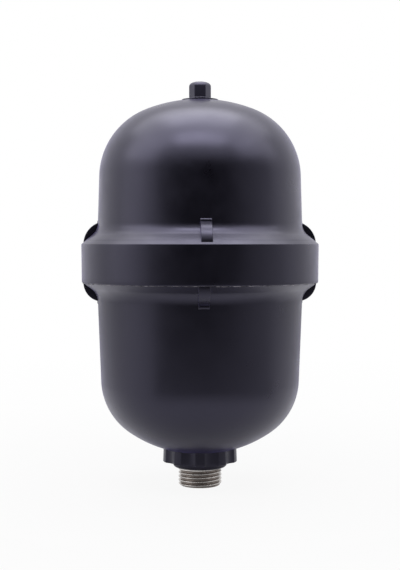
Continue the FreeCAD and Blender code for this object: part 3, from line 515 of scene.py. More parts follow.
class Shade:
    """A material's node tree, with short ways to add and join nodes."""

    def __init__(self, name, base, roughness, metallic=0.0):
        self.material = bpy.data.materials.new(name)
        self.material.use_nodes = True
        self.tree = self.material.node_tree
        self.shader = self.tree.nodes["Principled BSDF"]
        self.shader.inputs["Base Color"].default_value = (*base, 1)
        self.shader.inputs["Roughness"].default_value = roughness
        self.shader.inputs["Metallic"].default_value = metallic
        self.place = self.add("ShaderNodeTexCoord").outputs["Object"]

    def add(self, kind, **settings):
        node = self.tree.nodes.new(kind)
        for key, value in settings.items():
            if key in node.inputs:
                node.inputs[key].default_value = value
            else:
                setattr(node, key, value)
        return node

    def join(self, output, target):
        self.tree.links.new(output, target)

    def drive(self, name, output):
        """Joins an output to one of the shader's own inputs."""
        self.join(output, self.shader.inputs[name])

    def surface(self, output):
        """Shows this output in place of the shader's."""
        self.join(output, self.tree.nodes["Material Output"].inputs["Surface"])

    def clouds(self, scale, detail=3.0, roughness=0.5):
        texture = self.add("ShaderNodeTexNoise", Scale=scale, Detail=detail, Roughness=roughness)
        self.join(self.place, texture.inputs["Vector"])
        return texture.outputs["Fac"]

    def spread(self, source, span, result=(0.0, 1.0)):
        """Maps a span of the source to a span of results, held at both ends."""
        ramp = self.add("ShaderNodeMapRange")
        for key, value in zip(("From Min", "From Max", "To Min", "To Max"), (*span, *result)):
            ramp.inputs[key].default_value = value
        self.join(source, ramp.inputs["Value"])
        return ramp.outputs["Result"]

    def curve(self, source, stops):
        """A smooth value along a source, from its stops of (place, value); the places rise."""
        reach = stops[-1][0]
        share = self.add("ShaderNodeMath", operation="DIVIDE")
        self.join(source, share.inputs[0])
        share.inputs[1].default_value = reach
        ramp = self.add("ShaderNodeValToRGB")
        elements = ramp.color_ramp.elements
        while len(elements) < len(stops):
            elements.new(1.0)
        for element, (place, value) in zip(elements, stops):
            element.position = place / reach
            element.color = (value, value, value, 1)
        self.join(share.outputs["Value"], ramp.inputs["Fac"])
        return ramp.outputs["Color"]

    def axes(self):
        parts = self.add("ShaderNodeSeparateXYZ")
        self.join(self.place, parts.inputs["Vector"])
        return parts.outputs

    def radius(self):
        """Distance from the object's own vertical axis."""
        axes = self.axes()
        flat = self.add("ShaderNodeCombineXYZ")
        self.join(axes["X"], flat.inputs["X"])
        self.join(axes["Y"], flat.inputs["Y"])
        away = self.add("ShaderNodeVectorMath", operation="LENGTH")
        self.join(flat.outputs["Vector"], away.inputs[0])
        return away.outputs["Value"]

    def reckon(self, operation, *outputs):
        """One value from several outputs, such as their sum or product."""
        total = outputs[0]
        for output in outputs[1:]:
            node = self.add("ShaderNodeMath", operation=operation)
            self.join(total, node.inputs[0])
            self.join(output, node.inputs[1])
            total = node.outputs["Value"]
        return total

    def mix(self, factor, first, second):
        """A mix from the first to the second; each is a colour or another node's output."""
        node = self.add("ShaderNodeMix", data_type="RGBA")
        self.join(factor, node.inputs["Factor"])
        sockets = [socket for socket in node.inputs if socket.type == "RGBA"]
        for socket, tone in zip(sockets, (first, second)):
            if isinstance(tone, bpy.types.NodeSocket):
                self.join(tone, socket)
            else:
                socket.default_value = (*tone, 1)
        return next(socket for socket in node.outputs if socket.type == "RGBA")

    def bump(self, *layers):
        """Stacks bumps. Each layer is (height output, strength, distance in metres)."""
        normal = None
        for height, strength, distance in layers:
            node = self.add("ShaderNodeBump", Strength=strength, Distance=distance)
            self.join(height, node.inputs["Height"])
            if normal is not None:
                self.join(normal, node.inputs["Normal"])
            normal = node.outputs["Normal"]
        self.drive("Normal", normal)

    def edges(self, radius):
        """How strongly a place is on an outer or inner edge, from 0 to 1."""
        full = 0.12
        bevel = self.add("ShaderNodeBevel", samples=6, Radius=radius)
        shape = self.add("ShaderNodeNewGeometry")
        dot = self.add("ShaderNodeVectorMath", operation="DOT_PRODUCT")
        self.join(bevel.outputs["Normal"], dot.inputs[0])
        self.join(shape.outputs["Normal"], dot.inputs[1])
        return self.spread(dot.outputs["Value"], (1 - full, 1.0), (1.0, 0.0))


def lighter(base, by):
    return tuple(min(1.0, c * by) for c in base)


def moulded_plastic(name, base, roughness, smudges=0.0, gloss=0.68):
    """Satin moulded plastic: slightly uneven sheen, faint sink marks, handled edges a little paler."""
    finish = bpy.context.scene.tank_finish
    shade = Shade(name, base, roughness)
    for key, value in (
        ("Specular IOR Level", gloss),
        ("Specular Tint", (*finish.sheen, 1)),
        ("Sheen Weight", finish.haze_weight),
        ("Sheen Roughness", finish.haze_roughness),
        ("Sheen Tint", (*finish.haze, 1)),
    ):
        shade.shader.inputs[key].default_value = value
    broad = shade.clouds(scale=32.0, detail=4.0)
    patches = shade.clouds(scale=85.0, detail=5.0, roughness=0.62)
    tone = shade.mix(shade.spread(broad, (0.3, 0.7)), lighter(base, 0.86), lighter(base, 1.14))
    handled = shade.spread(patches, (0.35, 0.7), (0.1, 0.7))
    worn = shade.reckon("MULTIPLY", shade.edges(0.35 * MM), handled)
    shade.drive("Base Color", shade.mix(worn, tone, lighter(base, 2.6)))
    satin = (roughness - 0.03, roughness + 0.05 + smudges)
    shade.drive("Roughness", shade.spread(patches, (0.3, 0.75), satin))
    sinks, grain = shade.clouds(scale=22.0, detail=2.0), shade.clouds(scale=1500.0, detail=2.0)
    shade.bump((sinks, 0.25, 0.5 * MM), (grain, 0.05, 0.05 * MM))
    return shade.material


def weld_plastic(name, base):
    """Plastic torn and whitened in patches by the weld."""
    shade = Shade(name, base, 0.55)
    grain = shade.clouds(scale=260.0, detail=5.0, roughness=0.7)
    dark = tuple(bpy.context.scene.tank_finish.weld)
    shade.drive("Base Color", shade.mix(shade.spread(grain, (0.4, 0.62)), dark, base))
    shade.drive("Roughness", shade.spread(grain, (0.3, 0.7), (0.4, 0.7)))
    shade.bump((grain, 0.5, 0.15 * MM))
    return shade.material


def turned_metal(name, base, roughness, crest, root):
    """Turned metal: faint tool rings and tarnish, with painted shade that darkens it from the crest's radius
    in to the root's.
    """
    shade = Shade(name, base, roughness, metallic=1.0)
    rings = shade.add("ShaderNodeTexWave", bands_direction="Z", Scale=1500.0, Distortion=1.5)
    shade.join(shade.place, rings.inputs["Vector"])
    tarnish = shade.clouds(scale=110.0)
    tone = shade.mix(shade.spread(tarnish, (0.35, 0.7)), lighter(base, 1.05), lighter(base, 0.82))
    # Painted shade: the colour darkens from the thread's crest in to its root.
    depth = shade.spread(shade.radius(), (root, crest), (1.0, 0.0))
    shade.drive("Base Color", shade.mix(depth, tone, tuple(bpy.context.scene.tank_finish.roots)))
    shade.drive("Roughness", shade.spread(tarnish, (0.3, 0.75), (roughness - 0.05, roughness + 0.12)))
    shade.bump((rings.outputs["Fac"], 0.01, 0.002 * MM), (shade.clouds(scale=240.0), 0.01, 0.005 * MM))
    return shade.material


def moulded_rubber(name, base):
    """Matt rubber with a pale bloom."""
    shade = Shade(name, base, 0.72)
    bloom = shade.clouds(scale=60.0, detail=4.0)
    shade.drive("Base Color", shade.mix(shade.spread(bloom, (0.35, 0.7)), base, lighter(base, 1.8)))
    shade.drive("Roughness", shade.spread(bloom, (0.3, 0.7), (0.62, 0.82)))
    shade.bump((shade.clouds(scale=700.0, detail=4.0, roughness=0.65), 0.3, 0.08 * MM))
    return shade.material


def plain_nylon(name, base):
    """Pale moulded plastic with faint flow marks."""
    shade = Shade(name, base, 0.45)
    flow = shade.clouds(scale=90.0, detail=4.0)
    shade.drive("Base Color", shade.mix(shade.spread(flow, (0.3, 0.7)), base, lighter(base, 0.88)))
    shade.drive("Roughness", shade.spread(flow, (0.3, 0.7), (0.38, 0.52)))
    shade.bump((shade.clouds(scale=600.0), 0.12, 0.05 * MM))
    return shade.material


def drawn_wire(name, base):
    """Bright drawn wire with fine streaks."""
    shade = Shade(name, base, 0.25, metallic=1.0)
    streaks = shade.clouds(scale=1800.0)
    shade.drive("Base Color", shade.mix(streaks, base, lighter(base, 0.8)))
    shade.drive("Roughness", shade.spread(streaks, (0.3, 0.7), (0.18, 0.34)))
    shade.bump((streaks, 0.08, 0.01 * MM))
    return shade.material


def finish_of(kind):
    """The material of one finish, made once. Steel gets painted shade down to its thread's root, brass only
    near its axis.
    """
    if kind in bpy.data.materials:
        return bpy.data.materials[kind]
    finish, port = bpy.context.scene.tank_finish, bpy.context.scene.tank_port
    thread = {"crest": port.crest - 0.1 * MM, "root": port.crest - port.depth}
    axis = {"crest": 0.4 * MM, "root": 0.0}
    makers = {
        "shell_black": (moulded_plastic, finish.shell, {"roughness": 0.3, "smudges": 0.02}),
        "collar_black": (moulded_plastic, finish.collar, {"roughness": 0.3, "gloss": 0.42}),
        "cap_black": (moulded_plastic, finish.cap, {"roughness": 0.38}),
        "weld_flash": (weld_plastic, finish.flash, {}),
        "port_steel": (turned_metal, finish.metal, {"roughness": 0.24, **thread}),
        "valve_brass": (turned_metal, finish.brass, {"roughness": 0.26, **axis}),
        "seal_rubber": (moulded_rubber, finish.rubber, {}),
        "ring_nylon": (plain_nylon, finish.nylon, {}),
        "spring_wire": (drawn_wire, finish.spring, {}),
    }
    maker, base, settings = makers[kind]
    return maker(kind, tuple(base), **settings)


# Moulded halves


class BuildUpperShell(bpy.types.Operator):
    """Domed upper half with the waist band, the valve boss and the drive lugs"""

    bl_idname = "tank.upper_shell"
    bl_label = "Upper shell"

    def execute(self, context):
        shell, boss = context.scene.tank_shell, context.scene.tank_boss
        dome = dome_of(1)
        skirt_bore = shell.band_radius - shell.skirt_wall
        shoulder_radius = skirt_bore - shell.shoulder_inset
        profile = self.band(shell, dome, skirt_bore) + dome.cover(boss.pad_radius) + self.crest(boss, dome)
        profile += self.inside(shell, boss, dome, shoulder_radius)
        profile.append((skirt_bore, shell.weld_level + shell.shoulder_rise))
        piece = skin("upper_half", rings_of(fine(profile), count=288), closed=True)
        add_lugs(piece, dome, shell.band_top, shoulder_radius + shell.lug_root)
        dress(piece, finish_of("shell_black"))
        settle(piece, "tank", "shell_plastic", "upper_shell")
        return {"FINISHED"}

    def band(self, shell, dome, skirt_bore):
        """From the skirt's bore round the band, its land and the crease to the flare's upper end."""
        foot = (shell.band_radius - shell.band_draft, shell.weld_level)
        rim = (shell.band_radius, shell.band_top)
        land_end = (rim[0] - shell.land, rim[1] + shell.land_slope * shell.land)
        crease = (land_end[0] - shell.crease_width, land_end[1] + shell.crease_height)
        points = [(skirt_bore, shell.weld_level), foot, rim, land_end, crease] + dome.flare(crease)[::-1]
        points = rounded(points, points.index(crease), shell.crease_round, steps=4)
        points = rounded(points, points.index(land_end), shell.land_round, steps=4)
        points = rounded(points, points.index(rim), shell.rim_round)
        return rounded(points, points.index(foot), shell.foot_round)

    def crest(self, boss, dome):
        """The pad and the raised ring round the valve, in to the hole."""
        pad_top, ring_top = dome.pole + boss.pad_rise, dome.pole + boss.ring_rise
        pad, ring, chamfer = boss.pad_radius, boss.ring_radius, boss.ring_chamfer
        points = rounded([(pad, dome.height(pad)), (pad, pad_top), (ring, pad_top)], 1, boss.pad_round)[1:]
        return points + [(ring, ring_top - chamfer), (ring - chamfer, ring_top), (boss.hole, ring_top)]

    def inside(self, shell, boss, dome, shoulder_radius):
        """From the boss's lower end under the dome to the shoulder in the skirt."""
        boss_bottom = dome.pole + boss.pad_rise - boss.depth
        inner_end = shell.band_top + shell.inner_rise
        inner_radius = dome.wall_at(inner_end, shell.wall)
        shoulder_start = inner_end - (shoulder_radius - inner_radius) * dome.half.flare_slope
        points = [(boss.hole, boss_bottom), (boss.radius, boss_bottom)]
        points.append((boss.radius, dome.height(boss.radius, shell.wall)))
        points += dome.cover(boss.radius, shell.wall)[::-1]
        points += [(inner_radius, inner_end), (shoulder_radius, shoulder_start)]
        return points + [(shoulder_radius, shell.weld_level + shell.shoulder_rise)]


class BuildLowerShell(bpy.types.Operator):
    """Domed lower half with its weld flange, diaphragm tongue, port seat and drive lugs"""

    bl_idname = "tank.lower_shell"
    bl_label = "Lower shell"

    def execute(self, context):
        shell, port = context.scene.tank_shell, context.scene.tank_port
        dome = dome_of(-1)
        level = shell.weld_level
        flange = (shell.band_radius - shell.inset, level)
        tongue_out = shell.band_radius - shell.skirt_wall - shell.tongue_gap
        tongue_in = tongue_out - shell.tongue_wall
        tongue_top = level + shell.tongue_height
        inner_end = level - shell.inner_drop
        floor = port.seat_level - port.groove_depth
        profile = dome.cover(port.hole)[::-1] + dome.flare(flange) + [flange]
        profile += [(tongue_out, level), (tongue_out, tongue_top), (tongue_in, tongue_top)]
        profile += [(tongue_in, level - shell.tongue_root), (dome.wall_at(inner_end, shell.wall), inner_end)]
        profile += dome.cover(port.seat, shell.wall)
        profile += [(port.seat, port.seat_level), (port.groove_outer, port.seat_level)]
        profile += [(port.groove_outer, floor), (port.groove_inner, floor)]
        profile += [(port.groove_inner, port.seat_level), (port.hole, port.seat_level)]
        piece = skin("lower_half", rings_of(fine(profile), count=288), closed=True)
        add_lugs(piece, dome, level, tongue_in)
        dress(piece, finish_of("shell_black"))
        settle(piece, "tank", "shell_plastic", "lower_shell")
        return {"FINISHED"}


class BuildWeldFlash(bpy.types.Operator):
    """Ragged bead of plastic squeezed out where the halves were spun together"""

    bl_idname = "tank.weld_flash"
    bl_label = "Weld flash"

    def execute(self, context):
        shell = context.scene.tank_shell
        count, around = 720, 10
        edge, level = shell.band_radius - shell.inset, shell.weld_level - 0.12 * MM
        thin, swing, threshold, flatness = 0.16, 0.5, 0.35, 0.5
        coarse, torn, torn_share = 14, 55, 0.6
        wavy, wave_height, other_place = 30, 0.2 * MM, Vector((0, 0, 4))
        rings = []
        for k in range(count):
            a = TURN * k / count
            spot = Vector((math.cos(a), math.sin(a), 0.0))
            ragged = noise.noise(spot * coarse) + torn_share * noise.noise(spot * torn)
            wide = shell.flash_reach * (thin + swing * max(0.0, threshold + ragged))
            sag = wave_height * noise.noise(spot * wavy + other_place)
            ring = []
            for b in (TURN * i / around for i in range(around)):
                r = edge + wide * math.cos(b)
                ring.append((r * spot.x, r * spot.y, level + sag + flatness * wide * math.sin(b)))
            rings.append(ring)
        piece = skin("weld_bead", rings, closed=True)
        dress(piece, finish_of("weld_flash"))
        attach(piece, "tank")
        return {"FINISHED"}


# Collar and screw port


def lobe_radius_at(angle, collar, inset):
    """The collar's outline: lobes at the crest radius, cut by round flutes, their edges softened."""
    crest, flute, soften = collar.crest - inset, collar.flute_radius, collar.lobe_edge
    step = TURN / collar.lobe_count
    off = abs((angle + step / 2) % step - step / 2) - step / 2
    centre = crest - collar.flute_depth + flute
    inside = flute**2 - (centre * math.sin(off)) ** 2
    near = centre * math.cos(off) - math.sqrt(inside) if inside > 0 else centre
    blend = max(0.0, soften - abs(crest - near)) ** 2 / (4 * soften)
    return min(crest, near) - blend


class BuildCollar(bpy.types.Operator):
    """Grip collar with ten shallow lobes over a plain drum"""

    bl_idname = "tank.collar"
    bl_label = "Collar"

    def execute(self, context):
        collar, hole = context.scene.tank_collar, context.scene.tank_port.hole
        dome = dome_of(-1)
        drum, chamfer, drum_round = collar.drum, collar.drum_chamfer, collar.drum_round
        lobe_low = collar.drum_height + collar.lobe_round
        middle = 12.5 * MM
        count, side_steps, round_steps = 640, 7, 5
        turn = math.radians(collar.lobe_turn)

        def top_at(radius):
            return dome.height(radius, -collar.weld_gap)

        def lobed(inset, level=None):
            ring = []
            for a in (TURN * k / count for k in range(count)):
                r = lobe_radius_at(a - turn, collar, inset)
                ring.append((r * math.cos(a), r * math.sin(a), top_at(r) if level is None else level))
            return ring

        rings = rings_of([(hole, top_at(hole)), (middle, top_at(middle))], count)
        rings.append(lobed(collar.lobe_lean))
        side_top = top_at(collar.crest - collar.flute_depth) - collar.lobe_top
        for i in range(side_steps + 1):
            share = i / side_steps
            rings.append(lobed(collar.lobe_draft * (1 - share), side_top + (lobe_low - side_top) * share))
        for i in range(1, round_steps + 1):
            a = math.pi / 2 * i / round_steps
            inset, drop = collar.lobe_round * (1 - math.cos(a)), collar.lobe_round * math.sin(a)
            rings.append(lobed(inset, lobe_low - drop))
        foot = [(drum + chamfer, collar.drum_height), (drum, collar.drum_height - chamfer)]
        foot += arc((drum - drum_round, drum_round), drum_round, 0.0, -math.pi / 2, steps=8)
        foot += [(hole + collar.mouth, 0.0), (hole, collar.mouth)]
        piece = skin("grip_collar", rings + rings_of(foot, count), closed=True)
        dress(piece, finish_of("collar_black"))
        settle(piece, "tank", "collar_plastic", "port_collar")
        return {"FINISHED"}


def thread_rings(crest, depth, pitch, low, high, count, fade_low=0.0, fade_high=0.0, inward=False):
    """Rings of a screw thread between two levels. The fades are the lengths over which it runs out."""
    rings_per_pitch, flat = 20, 0.12
    steps = int((high - low) / pitch * rings_per_pitch)
    side = 1 if inward else -1
    rings = []
    for i in range(steps + 1):
        level = low + (high - low) * i / steps
        lift = 1.0
        if fade_low > 0:
            lift *= min(1.0, max(0.0, (level - low) / fade_low))
        if fade_high > 0:
            lift *= min(1.0, max(0.0, (high - level) / fade_high))
        ring = []
        for k in range(count):
            turn = k / count
            tooth = abs((level / pitch - turn) % 1.0 * 2 - 1)
            tooth = max(0.0, min(1.0, (tooth - flat) / (1 - 2 * flat)))
            tooth = tooth * tooth * (3 - 2 * tooth)
            r = crest + side * depth * (1 - tooth) * lift
            ring.append((r * math.cos(TURN * turn), r * math.sin(TURN * turn), level))
        rings.append(ring)
    return rings


def drilled_plate(name, radius, low, high, holes):
    """A round plate with round holes, each (x, y, radius), from a filled curve."""
    edge, quarter_handle = 0.15 * MM, 0.5523
    curve = bpy.data.curves.new(name, "CURVE")
    curve.dimensions = "2D"
    curve.fill_mode = "BOTH"
    curve.extrude = (high - low) / 2 - edge
    curve.bevel_depth = edge
    curve.bevel_resolution = 2
    curve.resolution_u = 16
    for x, y, r in [(0.0, 0.0, radius - edge)] + [(x, y, r + edge) for x, y, r in holes]:
        spline = curve.splines.new("BEZIER")
        spline.bezier_points.add(3)
        spline.use_cyclic_u = True
        for k, point in enumerate(spline.bezier_points):
            a = TURN * k / 4
            along = Vector((-math.sin(a), math.cos(a), 0)) * r * quarter_handle
            point.co = (x + r * math.cos(a), y + r * math.sin(a), 0)
            point.handle_left, point.handle_right = point.co - along, point.co + along
    plate = link(name, curve)
    plate.location.z = (low + high) / 2
    bpy.context.view_layer.update()
    graph = bpy.context.evaluated_depsgraph_get()
    mesh = bpy.data.meshes.new_from_object(plate.evaluated_get(graph))
    mesh.transform(plate.matrix_world)
    bpy.data.objects.remove(plate)
    return link(name, mesh)


class BuildPort(bpy.types.Operator):
    """Metal screw port: real thread, chamfered nose, bore and the grid inside"""

    bl_idname = "tank.port"
    bl_label = "Screw port"

    def execute(self, context):
        port = context.scene.tank_port
        count = 192
        nose, nose_radius, chamfer = port.nose, port.crest - port.nose_drop, port.chamfer
        thread_low, thread_high, crest_low = nose + 0.05 * MM, -0.15 * MM, -0.1 * MM
        mouth = [(port.bore, nose + chamfer), (port.bore + chamfer, nose), (nose_radius, nose)]
        rings = rings_of(mouth, count)
        thread = thread_rings(
            port.crest, port.depth, port.pitch, thread_low, thread_high, count, fade_high=port.fade
        )
        for ring in thread:
            limit = nose_radius + (ring[0][2] - nose) * port.nose_slope
            held = []
            for x, y, z in ring:
                r = math.hypot(x, y)
                scale = min(r, limit) / r
                held.append((x * scale, y * scale, z))
            rings.append(held)
        lip, grid_low = port.bore - port.grid_lip, port.head_top - port.grid_thickness
        head = [(port.crest, crest_low), (port.crest, 0.0), (port.shank, 0.0), (port.shank, port.head_low)]
        head += [(port.head, port.head_low), (port.head, port.head_top - chamfer)]
        head += [(port.head - chamfer, port.head_top), (lip, port.head_top)]
        head += [(lip, grid_low), (port.bore, grid_low)]
        piece = skin("screw_port", rings + rings_of(head, count), closed=True)
        add_mesh(piece, self.grid(port, grid_low))
        dress(piece, finish_of("port_steel"))
        settle(piece, "tank", "port_metal", "connector")
        return {"FINISHED"}

    def grid(self, port, low):
        play = 0.05 * MM
        ring = ring_of(port.bore - port.grid_margin - port.grid_hole, 0.0, port.grid_count)
        holes = [(x, y, port.grid_hole) for x, y, _ in [(0.0, 0.0, 0.0)] + ring]
        return drilled_plate("port_grid", port.bore - play, low, port.head_top, holes)


# Air valve


class BuildValveStem(bpy.types.Operator):
    """Turned brass valve body with its real outside thread"""

    bl_idname = "tank.valve_stem"
    bl_label = "Valve stem"

    def execute(self, context):
        valve = context.scene.tank_valve
        low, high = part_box("valve_body")
        ring_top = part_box("upper_shell")[1].z
        count, edge = 96, 0.2 * MM
        seal = ring_top - valve.seal_drop
        seal_low, seal_high = seal - valve.seal_half, seal + valve.seal_half
        flange_top = low.z + valve.flange_height
        thread_low, thread_high, fade = ring_top + 0.1 * MM, high.z - 0.4 * MM, 0.5 * MM
        outside = [(valve.bore, low.z), (valve.flange, low.z), (valve.flange, flange_top)]
        outside += [(valve.shank, flange_top), (valve.shank, seal_low), (valve.seal_floor, seal_low)]
        outside += [(valve.seal_floor, seal_high), (valve.shank, seal_high), (valve.shank, ring_top)]
        outside.append((valve.crest, ring_top))
        thread = thread_rings(
            valve.crest, valve.depth, valve.pitch, thread_low, thread_high, count, fade_low=fade
        )
        inside = [(valve.crest - valve.chamfer, high.z), (valve.core_bore + edge, high.z)]
        inside += [(valve.core_bore, high.z - edge), (valve.core_bore, high.z - valve.core_depth)]
        inside.append((valve.bore, high.z - valve.taper_depth))
        piece = skin("valve_stem", rings_of(outside, count) + thread + rings_of(inside, count), closed=True)
        dress(piece, finish_of("valve_brass"))
        settle(piece, "tank", "valve_brass", "valve_body")
        return {"FINISHED"}


class BuildValveCap(bpy.types.Operator):
    """Hexagonal screw cap with a rounded top and a threaded bore"""

    bl_idname = "tank.valve_cap"
    bl_label = "Valve cap"

    def execute(self, context):
        valve = context.scene.tank_valve
        low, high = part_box("valve_cap")
        count, side_steps, round_steps = 240, 10, 20
        foot, shoulder = low.z + valve.cap_foot, high.z - valve.cap_round
        sink, flat_end = 0.04 * MM, 1.6 * MM
        corner_growth, corner_left = 0.08, 0.2

        def hexagon(inset, level):
            flat, slant = valve.cap_flats / 2 - inset, math.cos(math.pi / 6)
            blunt = flat / slant - valve.cap_corner - inset * corner_growth
            ring = []
            for a in (TURN * k / count for k in range(count)):
                side = flat / math.cos(a % (math.pi / 3) - math.pi / 6)
                r = min(side, blunt + (side - blunt) * corner_left)
                ring.append((r * math.cos(a), r * math.sin(a), level))
            return ring

        rings = [hexagon(0.0, foot + (shoulder - foot) * i / side_steps) for i in range(side_steps + 1)]
        for i in range(1, round_steps):
            a = math.pi / 2 * i / round_steps
            level = shoulder + valve.cap_round * math.sin(a) - sink * i / (round_steps - 1)
            rings.append(hexagon(valve.cap_crown * (1 - math.cos(a)), level))
        rings += rings_of([(flat_end, high.z - sink / 2), (flat_end / 2, high.z), (0.0, high.z)], count)
        bore = self.bore(valve, low, high, count) + [hexagon(valve.cap_chamfer, low.z), rings[0]]
        piece = skin("hex_cap", rings)
        add_mesh(piece, skin("hex_cap_bore", bore))
        dress(piece, finish_of("cap_black"))
        settle(piece, "cap", "cap_plastic", "valve_cap")
        return {"FINISHED"}

    def bore(self, valve, low, high, count):
        """From the roof's middle down the threaded bore to its chamfered mouth."""
        bore, roof = valve.cap_bore, high.z - valve.cap_roof
        thread_low, thread_high, fade = low.z + 0.35 * MM, roof - 0.3 * MM, 0.5 * MM
        mouth, corner = 0.3 * MM, 0.05 * MM
        thread = thread_rings(
            bore, valve.cap_thread, valve.pitch, thread_low, thread_high, count, fade_high=fade, inward=True
        )
        top = rings_of([(0.0, roof), (bore - corner, roof)], count)
        return top + thread[::-1] + [ring_of(bore + mouth, low.z, count)]


class BuildValveSpring(bpy.types.Operator):
    """Coil spring under the valve pin's collar"""

    bl_idname = "tank.valve_spring"
    bl_label = "Valve spring"

    def execute(self, context):
        valve = context.scene.tank_valve
        low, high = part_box("core_spring")
        wire = valve.spring_wire
        radius, height = high.x - wire, high.z - low.z - 2 * wire
        turns = height / valve.spring_pitch
        slope = math.atan2(valve.spring_pitch, TURN * radius)
        steps_per_turn, sides = 36, 12
        steps = int(turns * steps_per_turn)
        section = [TURN * k / sides for k in range(sides)]
        rings = [[(radius, 0.0, low.z + wire)] * sides]
        for i in range(steps + 1):
            turn = TURN * turns * i / steps
            out = Vector((math.cos(turn), math.sin(turn), 0.0))
            back = Vector((math.sin(turn), -math.cos(turn), 0.0))
            lean = back * math.sin(slope) + Vector((0.0, 0.0, math.cos(slope)))
            centre = out * radius + Vector((0.0, 0.0, low.z + wire + height * i / steps))
            rings.append([tuple(centre + (out * math.cos(a) + lean * math.sin(a)) * wire) for a in section])
        rings.append([tuple(centre)] * sides)
        piece = skin("valve_spring", rings)
        dress(piece, finish_of("spring_wire"))
        settle(piece, "tank", "spring_steel", "core_spring")
        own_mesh(piece)
        return {"FINISHED"}


class FinishInnerParts(bpy.types.Operator):
    """Finishes of the parts inside, which keep their CAD shapes"""

    bl_idname = "tank.inner_parts"
    bl_label = "Inner parts"

    def execute(self, context):
        seals = ("connector_seal", "valve_seal", "core_barrel_seal", "core_cup_seal", "cap_seal")
        finishes = {
            "seal_rubber": ("diaphragm", *seals),
            "ring_nylon": ("clamp_ring",),
            "valve_brass": ("core_plug", "core_barrel", "core_pin", "core_cup"),
        }
        for kind, nodes in finishes.items():
            for node in nodes:
                dress(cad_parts[node], finish_of(kind))
        return {"FINISHED"}


# Studio

# Brightness at distances in metres. The floor's run outwards from the tank's axis, once as the camera sees
# the floor and once as gloss mirrors it; the mirrored run is a painted glow that stands in for floor light in
# reflections. The screen's own runs outwards too, and its apron's to the right; both are painted glow that
# shows only in reflections.
FLOOR_SEEN = ((0.0, 0.92), (0.1, 0.92), (0.3, 0.975), (0.7, 1.0))
FLOOR_MIRRORED = (
    (0.0, 0.25), (0.024, 0.35), (0.05, 0.62), (0.075, 0.8), (0.12, 1.0), (0.25, 0.95), (0.4, 0.4),
    (0.9, 0.25), (2.2, 0.9),
)
SCREEN_GLOW = ((0.0, 0.85), (0.12, 0.85), (0.2, 0.58), (0.3, 0.37), (0.45, 0.23), (0.6, 0.1), (0.7, 0.0))
APRON_GLOW = ((0.0, 0.0), (0.12, 0.0), (0.3, 0.16), (0.55, 0.22), (0.8, 0.1))


def area_light(name, place, target, size, watts, mirrored_only=False):
    """A rectangular softbox; one that is mirrored only shows in gloss and lights nothing else."""
    lamp = bpy.data.lights.new(name, "AREA")
    lamp.shape = "RECTANGLE"
    lamp.size, lamp.size_y = size
    lamp.energy = watts
    holder = link(name, lamp)
    holder.location = place
    holder.rotation_euler = (Vector(target) - Vector(place)).to_track_quat("-Z", "Y").to_euler()
    holder.visible_camera = False
    holder.visible_diffuse = not mirrored_only


